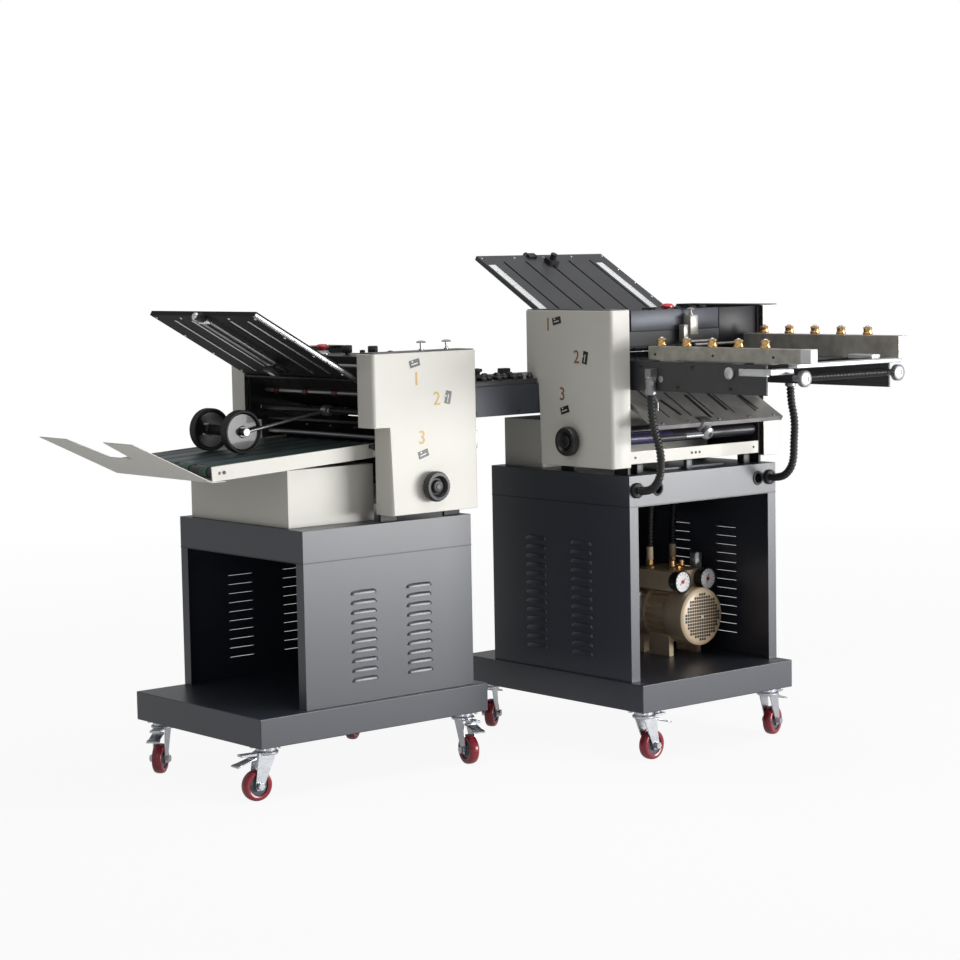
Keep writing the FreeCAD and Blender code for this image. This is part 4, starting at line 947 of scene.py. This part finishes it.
# %% Stacker wheels
STACK_U, STACK_W = 523, 228.4
stack = fresh()
for v in (28.5, -108.5):
    hub = (STACK_U, v, STACK_W)
    turning(stack, [(46, -10), (47.5, -12.4), (51.5, -12.4), (53, -10.5), (53, 10.5), (51.5, 12.4),
                    (47.5, 12.4), (46, 10)], hub, "y", 64)
    turning(stack, [(5.2, -8.5), (13, -8.5), (15, -6.5), (43, -6), (46.2, -9), (46.2, 9), (43, 6),
                    (15, 6.5), (13, 8.5), (5.2, 8.5), (5.2, -8.5)], hub, "y", 64, 1)
turning(stack, [(5.2, -108), (12, -108), (12, 28), (5.2, 28), (5.2, -108)],
        (STACK_U, 0, STACK_W), "y", 32)
piece("stacker_wheel_pair", stack, RUBBER, UNITS["a"], "stackers", ("stacker_wheels",),
      seconds=(DISC,))
nuts = fresh()
turning(nuts, [(0, 10), (4, 10), (6, 9), (7, 7), (7, 0), (0, 0)], (STACK_U, 43, STACK_W), "y", 24)
hex_nut(nuts, (STACK_U, 39, STACK_W), "y", 10, 5)
piece("stacker_axle_nut", nuts, DULL_STEEL, UNITS["a"], "arm")

screw_piece("delivery_rail_screws", TAG, TABLE,
            [(-34, 208, -17), (-486, 208, -17)], "y", 4.5, 2.6)
pin = fresh()
rod(pin, (266, 208, 184), 5, 22, "y", 20)
grip(pin, (266, 222, 184), "y", 8, 12, 10)
piece("delivery_rail_pin", pin, BLACK_KNOB, UNITS["a"])
pad = fresh()
for v in (186, -186):
    turning(pad, [(0, 0), (7, 0), (7.5, 1), (6, 2), (0, 2)], (60, v, 2), "z", 24)
piece("tray_screws", pad, TAG, TRAY)
box_piece("delivery_bed_sheet", HUB, TABLE, ((-482, -204, -3.2), (-36, 204, -2.6)), slot="guide_steel")
box_piece("a_cover_catch", ZINC, UNITS["a"], ((-5, 270, 168), (0, 296, 212), 1.5))

# %% [markdown]
# ## Vacuum pump
# The motor has cooling fins round its body, and over the fan a deep cover with a square grid of
# holes, which are thin dark blocks on its face. Two gauges face forward with pale dials, and brass
# elbows carry the hoses up into the cap.

# %% Pump trim
PX, PZ = 1356, 312
GAUGES = (-47, 47)
GAUGE_Y, GAUGE_UP = -88, 96
ELBOWS = (-43, 43)
ELBOW_Y = 40
fins = fresh()
for angle in range(0, 360, 15):
    swing = Matrix.Rotation(math.radians(angle), 4, "Y")
    x, _, z = swing @ Vector((65, 0, 0)) + Vector((PX, 0, PZ))
    block(fins, (x - 5, -56, z - 1.3), (x + 5, 36, z + 1.3), 0.5, 1, swing)
turning(fins, [(56, 0), (73, 0), (76.5, 2), (78, 8), (78, 66), (76, 70), (56, 70)], (PX, -111, PZ),
        "y", 64)
turning(fins, [(0, -4), (66, -4), (73, -2), (76, 1), (76, 2), (0, 2)], (PX, -110, PZ), "y", 64)
piece("pump_fins", fins, TAN, FLOOR_PLAN)
# the holes are thin dark blocks: painted shade for the dark inside each hole
grille = fresh()
HOLE_PITCH = 8.6
for column in range(-7, 8):
    for row in range(-7, 8):
        x, z = HOLE_PITCH * column, HOLE_PITCH * row
        if 8 < math.hypot(x, z) < 61:
            block(grille, (PX + x - 3.2, -114.6, PZ + z - 3.2), (PX + x + 3.2, -113.4, PZ + z + 3.2))
piece("pump_fan_hole_shade", grille, TAG, FLOOR_PLAN)
dials = fresh()
for dx in GAUGES:
    x, y, z = PX + dx, GAUGE_Y, PZ + GAUGE_UP
    turning(dials, [(0, 28), (25, 28), (26, 26), (26, 6), (30.5, 3), (30.5, -1), (29, -3.4), (27, -3.4),
                    (26.5, 0), (0, 0)], (x, y, z), "y", 48)
    turning(dials, [(0, -0.6), (26.4, -0.6), (26.4, 0.2), (0, 0.2)], (x, y, z), "y", 48, 1)
    for step in range(11):
        angle = math.radians(225 - 27 * step)
        spot = Vector((x + 22 * math.cos(angle), y - 0.8, z + 22 * math.sin(angle)))
        swing = Matrix.Rotation(-angle, 4, "Y")
        block(dials, spot - Vector((2.4, 0.3, 0.5)), spot + Vector((2.4, 0.3, 0.5)), 0, 1, swing, 0)
    needle = Matrix.Rotation(math.radians(-40 if dx < 0 else -70), 4, "Y")
    block(dials, (x - 13, y - 1.6, z - 0.7), (x + 13, y - 1.0, z + 0.7), 0, 1, needle, 0)
    turning(dials, [(0, 0), (5, 0), (5, 1.8), (0, 2)], (x, y - 0.8, z), "-y", 16, 2)
piece("pump_gauge_cases", dials, BLACK_KNOB, FLOOR_PLAN, replaces=("pump_gauges",),
      seconds=(DIAL, STOP_RED))
elbows = fresh()
for dx in ELBOWS:
    hex_nut(elbows, (PX + dx, ELBOW_Y, PZ + 119), "z", 13, 12)
    rod(elbows, (PX + dx, ELBOW_Y, PZ + 131), 11.5, 14, "z", 24)
for dx in GAUGES:
    hex_nut(elbows, (PX + dx, -60, PZ + GAUGE_UP), "y", 9, 10)
for dx in (-20, 14):
    hex_nut(elbows, (PX + dx, -22, PZ + 120), "z", 11, 9)
    rod(elbows, (PX + dx, -22, PZ + 129), 8, 16, "z", 20)
piece("pump_brass_fittings", elbows, BRASS, FLOOR_PLAN)
muffler = fresh()
turning(muffler, [(0, 0), (14, 0), (16, 3), (16, 40), (13, 44), (0, 45)],
        (PX + 62, -30, PZ + 120), "z", 28)
piece("pump_muffler", muffler, ZINC, FLOOR_PLAN)
tank = fresh()
bowl_x, bowl_y = PX - 128, 24
turning(tank, [(0, 0), (24, 0), (28, 4), (28, 78), (24, 84), (0, 86)],
        (bowl_x, bowl_y, PZ - 18), "z", 36)
turning(tank, [(0, 0), (30, 0), (30, 8), (0, 8)], (bowl_x, bowl_y, PZ + 60), "z", 36)
rod(tank, (bowl_x, bowl_y, PZ - 34), 9, 18, "z", 20)
between(tank, (bowl_x, bowl_y, PZ + 54), (PX - 40, 60, PZ + 54), 10)
piece("pump_filter_bowl", tank, ZINC, FLOOR_PLAN)

# %% [markdown]
# ## Hoses
# The corrugated hoses hang from valves on the feed table to bushes in the cart's cap. Each follows
# one smooth curve: circles of changing radius stand along it, four to a rib, and are bridged.

# %% Hose routes, in millimetres on the floor plan
ROUTES = {
    "feed_hose_near": [(978.5, -318, 944.6), (978.5, -318, 896.6), (975.5, -332, 841.6),
                       (974.5, -356, 788.6), (973.5, -356, 735.0), (973.5, -339, 705.6),
                       (973.5, -309.6, 688.6), (973.5, -276, 688.6)],
    "feed_hose_far": [(1449.5, -350, 944.6), (1449.5, -350, 896.6), (1456.5, -359, 841.6),
                      (1455.5, -356, 788.6), (1453.5, -356, 735.0), (1453.5, -339, 705.6),
                      (1453.5, -309.6, 688.6), (1453.5, -276, 688.6)],
}


def smooth_line(name, route):
    """A NURBS curve with the route's points as its control points."""
    curve = bpy.data.curves.new(name, "CURVE")
    curve.dimensions = "3D"
    curve.resolution_u = 24
    spline = curve.splines.new("NURBS")
    spline.points.add(len(route) - 1)
    for point, spot in zip(spline.points, route):
        point.co = (*(FLOOR_PLAN @ Vector(spot)), 1)
    spline.order_u = 3
    spline.use_endpoint_u = True
    return curve


def line_points(curve):
    holder = bpy.data.objects.new("line", curve)
    mesh = bpy.data.meshes.new_from_object(holder)
    points = [vert.co.copy() for vert in mesh.vertices]
    bpy.data.objects.remove(holder)
    bpy.data.meshes.remove(mesh)
    return points


def along(points, distance):
    """The point and heading at a distance along a line of points."""
    for start, end in zip(points, points[1:]):
        run = (end - start).length
        if distance <= run:
            return start + (end - start) * (distance / run), (end - start).normalized()
        distance -= run
    return points[-1], (points[-1] - points[-2]).normalized()


RIB_PITCH = 0.0092


def ribbed_tube(name, points, radius, replaces):
    """A tube whose radius rises and falls along the line, one rib to each pitch."""
    total = sum((b - a).length for a, b in zip(points, points[1:]))
    count = int(total / RIB_PITCH)
    shape = fresh()
    rings = []
    previous = None
    for step in range(count):
        for share, scale in ((0.0, 0.80), (0.22, 1.0), (0.62, 1.0), (0.84, 0.80)):
            spot, heading = along(points, min(total, (step + share) * total / count))
            if previous is None:
                frame_turn = heading.to_track_quat("Z", "Y")
            else:
                frame_turn = previous[0].rotation_difference(heading) @ previous[1]
            previous = (heading, frame_turn)
            matrix = Matrix.Translation(spot) @ frame_turn.to_matrix().to_4x4()
            rings.append(bmesh.ops.create_circle(shape, segments=18, radius=radius * scale,
                                                 matrix=matrix)["verts"])
    edge_rings = [own_edges(ring) for ring in rings]
    for first, second in zip(edge_rings, edge_rings[1:]):
        bmesh.ops.bridge_loops(shape, edges=first + second)
    for ring in (edge_rings[0], edge_rings[-1]):
        bmesh.ops.edgeloop_fill(shape, edges=ring)
    bmesh.ops.recalc_face_normals(shape, faces=shape.faces)
    return piece(name, shape, HOSE, Matrix(), "machine", replaces, 60), total


for node_name, route in ROUTES.items():
    points = line_points(smooth_line(f"{node_name}_line", route))
    tube, total = ribbed_tube(f"{node_name}_ribbed", points, 0.0105, (node_name,))
    print(node_name, round(total, 4))

# %% [markdown]
# Inside the cart both hoses run from the bushes back, over and down to the pump's elbows.

# %% Hoses inside the cart
HOSE_PORTS = (973.5, 1453.5)
INNER = []
for start_x, dx in zip(HOSE_PORTS, ELBOWS):
    end_x = PX + dx
    span = end_x - start_x
    INNER.append([(start_x, -256, 688.6), (start_x, -198, 688.6), (start_x + span * 0.2, -128, 690.6),
                  (end_x - span * 0.14, -64, 687.6), (end_x, 14, 660.6), (end_x, ELBOW_Y, 604.6),
                  (end_x, ELBOW_Y, 492)])
for count, route in enumerate(INNER, start=1):
    points = line_points(smooth_line(f"inner_line_{count}", route))
    tube, total = ribbed_tube(f"pump_hose_{count}", points, 0.0100,
                              ("pump_hoses",) if count == 1 else ())
    print("inner hose", count, round(total, 3))

# %% [markdown]
# Ferrules close the hoses at the valves, and ring bushes where they enter the cap.

# %% Hose ends
ferrules = fresh()
for x, y in ((978.5, -318), (1449.5, -350)):
    turning(ferrules, [(0, 0), (12.4, 0), (14, 2), (14, 14), (12.5, 16), (12.5, 30), (14, 32), (14, 36),
                       (0, 36)], (x, y, 930), "z", 32)
    hex_nut(ferrules, (x, y, 966), "z", 14, 9)
between(ferrules, (978.5, -318, 940), (990, -330, 912), 2.4)
between(ferrules, (990, -330, 912), (990, -330, 890), 2.4)
piece("hose_ferrules", ferrules, DULL_STEEL, FLOOR_PLAN)
bushes = fresh()
for x in HOSE_PORTS:
    turning(bushes, [(10.8, -3), (18, -3), (19.5, 0), (19.5, 6), (17.5, 9), (10.8, 10), (10.8, -3)],
            (x, PORT_Y, PORT_Z), "-y", 36)
piece("hose_bushes", bushes, RUBBER, FLOOR_PLAN)

# %% [markdown]
# ## Small fixings
# The box behind the first unit's cover is held by two screws on its top.

# %% Fixings
screw_piece("box_screws", ZINC, FLOOR_PLAN, [(300, 50, 777), (520, 50, 777)], "z", 4, 2)

# %% [markdown]
# ## Floor and light
# The object stands on a plain pale floor in a white studio. The key light comes from the right
# and front, so the faces towards it are bright and those towards the left are half as bright.
# To the camera, floor and world are white; only a soft shadow stays under the carts. The floor
# is a little less than white there and fades to full white farther out, so that no line shows
# where it ends.

# %% Floor
ground = bmesh.new()
bmesh.ops.create_grid(ground, x_segments=1, y_segments=1, size=60)
mesh = bpy.data.meshes.new("floor")
ground.to_mesh(mesh)
ground.free()
floor = bpy.data.objects.new("floor", mesh)
bpy.context.scene.collection.objects.link(floor)
floor_paint = bpy.data.materials.new("floor_white")
floor_paint.use_nodes = True
tree = floor_paint.node_tree
paint = tree.nodes["Principled BSDF"]
paint.inputs["Base Color"].default_value = (0.80, 0.80, 0.80, 1)
paint.inputs["Roughness"].default_value = 0.9
paint.inputs["Specular IOR Level"].default_value = 0.0
glow = add_node(tree, "Emission", {"Color": (1, 1, 1, 1)})
mix = add_node(tree, "MixShader")
rays = add_node(tree, "LightPath")
glossy = add_node(tree, "Math", {1: 0.35}, operation="MULTIPLY")
share = add_node(tree, "Math", operation="MULTIPLY")
seen = add_node(tree, "Math", operation="MAXIMUM")
here = add_node(tree, "TexCoord")
reach = add_node(tree, "VectorMath", operation="LENGTH")
fade = add_node(tree, "MapRange", {"From Min": 2.0, "From Max": 6.0, "To Min": 0.92, "To Max": 1.0})
wire(tree, (here, "Object", reach, 0), (reach, "Value", fade, "Value"), (fade, "Result", share, 1),
     (rays, "Is Glossy Ray", glossy, 0), (rays, "Is Camera Ray", share, 0), (share, 0, seen, 0),
     (glossy, 0, seen, 1), (seen, 0, mix, "Fac"), (paint, "BSDF", mix, 1), (glow, 0, mix, 2),
     (mix, 0, tree.nodes["Material Output"], "Surface"))
floor.data.materials.append(floor_paint)

# %% World
world = bpy.data.worlds.new("studio")
bpy.context.scene.world = world
world.use_nodes = True
tree = world.node_tree
plain = tree.nodes["Background"]
plain.inputs["Color"].default_value = (1, 1, 1, 1)
plain.inputs["Strength"].default_value = 0.22
white = add_node(tree, "Background", {"Color": (1, 1, 1, 1), "Strength": 1.0})
rays = add_node(tree, "LightPath")
mix = add_node(tree, "MixShader")
seen = add_node(tree, "Math", operation="MAXIMUM")
glossy = add_node(tree, "Math", {1: 0.27}, operation="MULTIPLY_ADD")
wire(tree, (rays, "Is Glossy Ray", glossy, 0), (rays, "Is Transmission Ray", glossy, 2),
     (rays, "Is Camera Ray", seen, 0), (glossy, 0, seen, 1), (seen, 0, mix, "Fac"),
     (plain, 0, mix, 1), (white, 0, mix, 2), (mix, 0, tree.nodes["World Output"], "Surface"))
print("world nodes", len(tree.nodes))


# %% Lamps
def lamp(name, at, towards, size, power):
    light = bpy.data.lights.new(name, "AREA")
    light.shape = "RECTANGLE"
    light.size = size[0]
    light.size_y = size[1]
    light.energy = power
    holder = bpy.data.objects.new(name, light)
    holder.location = at
    aim = Vector(towards) - Vector(at)
    holder.rotation_euler = aim.to_track_quat("-Z", "Y").to_euler()
    bpy.context.scene.collection.objects.link(holder)


lamp("key", (3.7, -4.85, 0.92), (0.1, 0, 0.5), (3.6, 1.7), 310)
lamp("overhead", (0.4, -0.6, 4.2), (0, 0, 0), (3.0, 3.0), 80)
lamp("left_fill", (-4.6, -1.6, 2.4), (0, 0, 0.8), (2.4, 2.0), 6)

bpy.context.scene.view_settings.view_transform = "Standard"
print("lamps", len(bpy.data.lights))
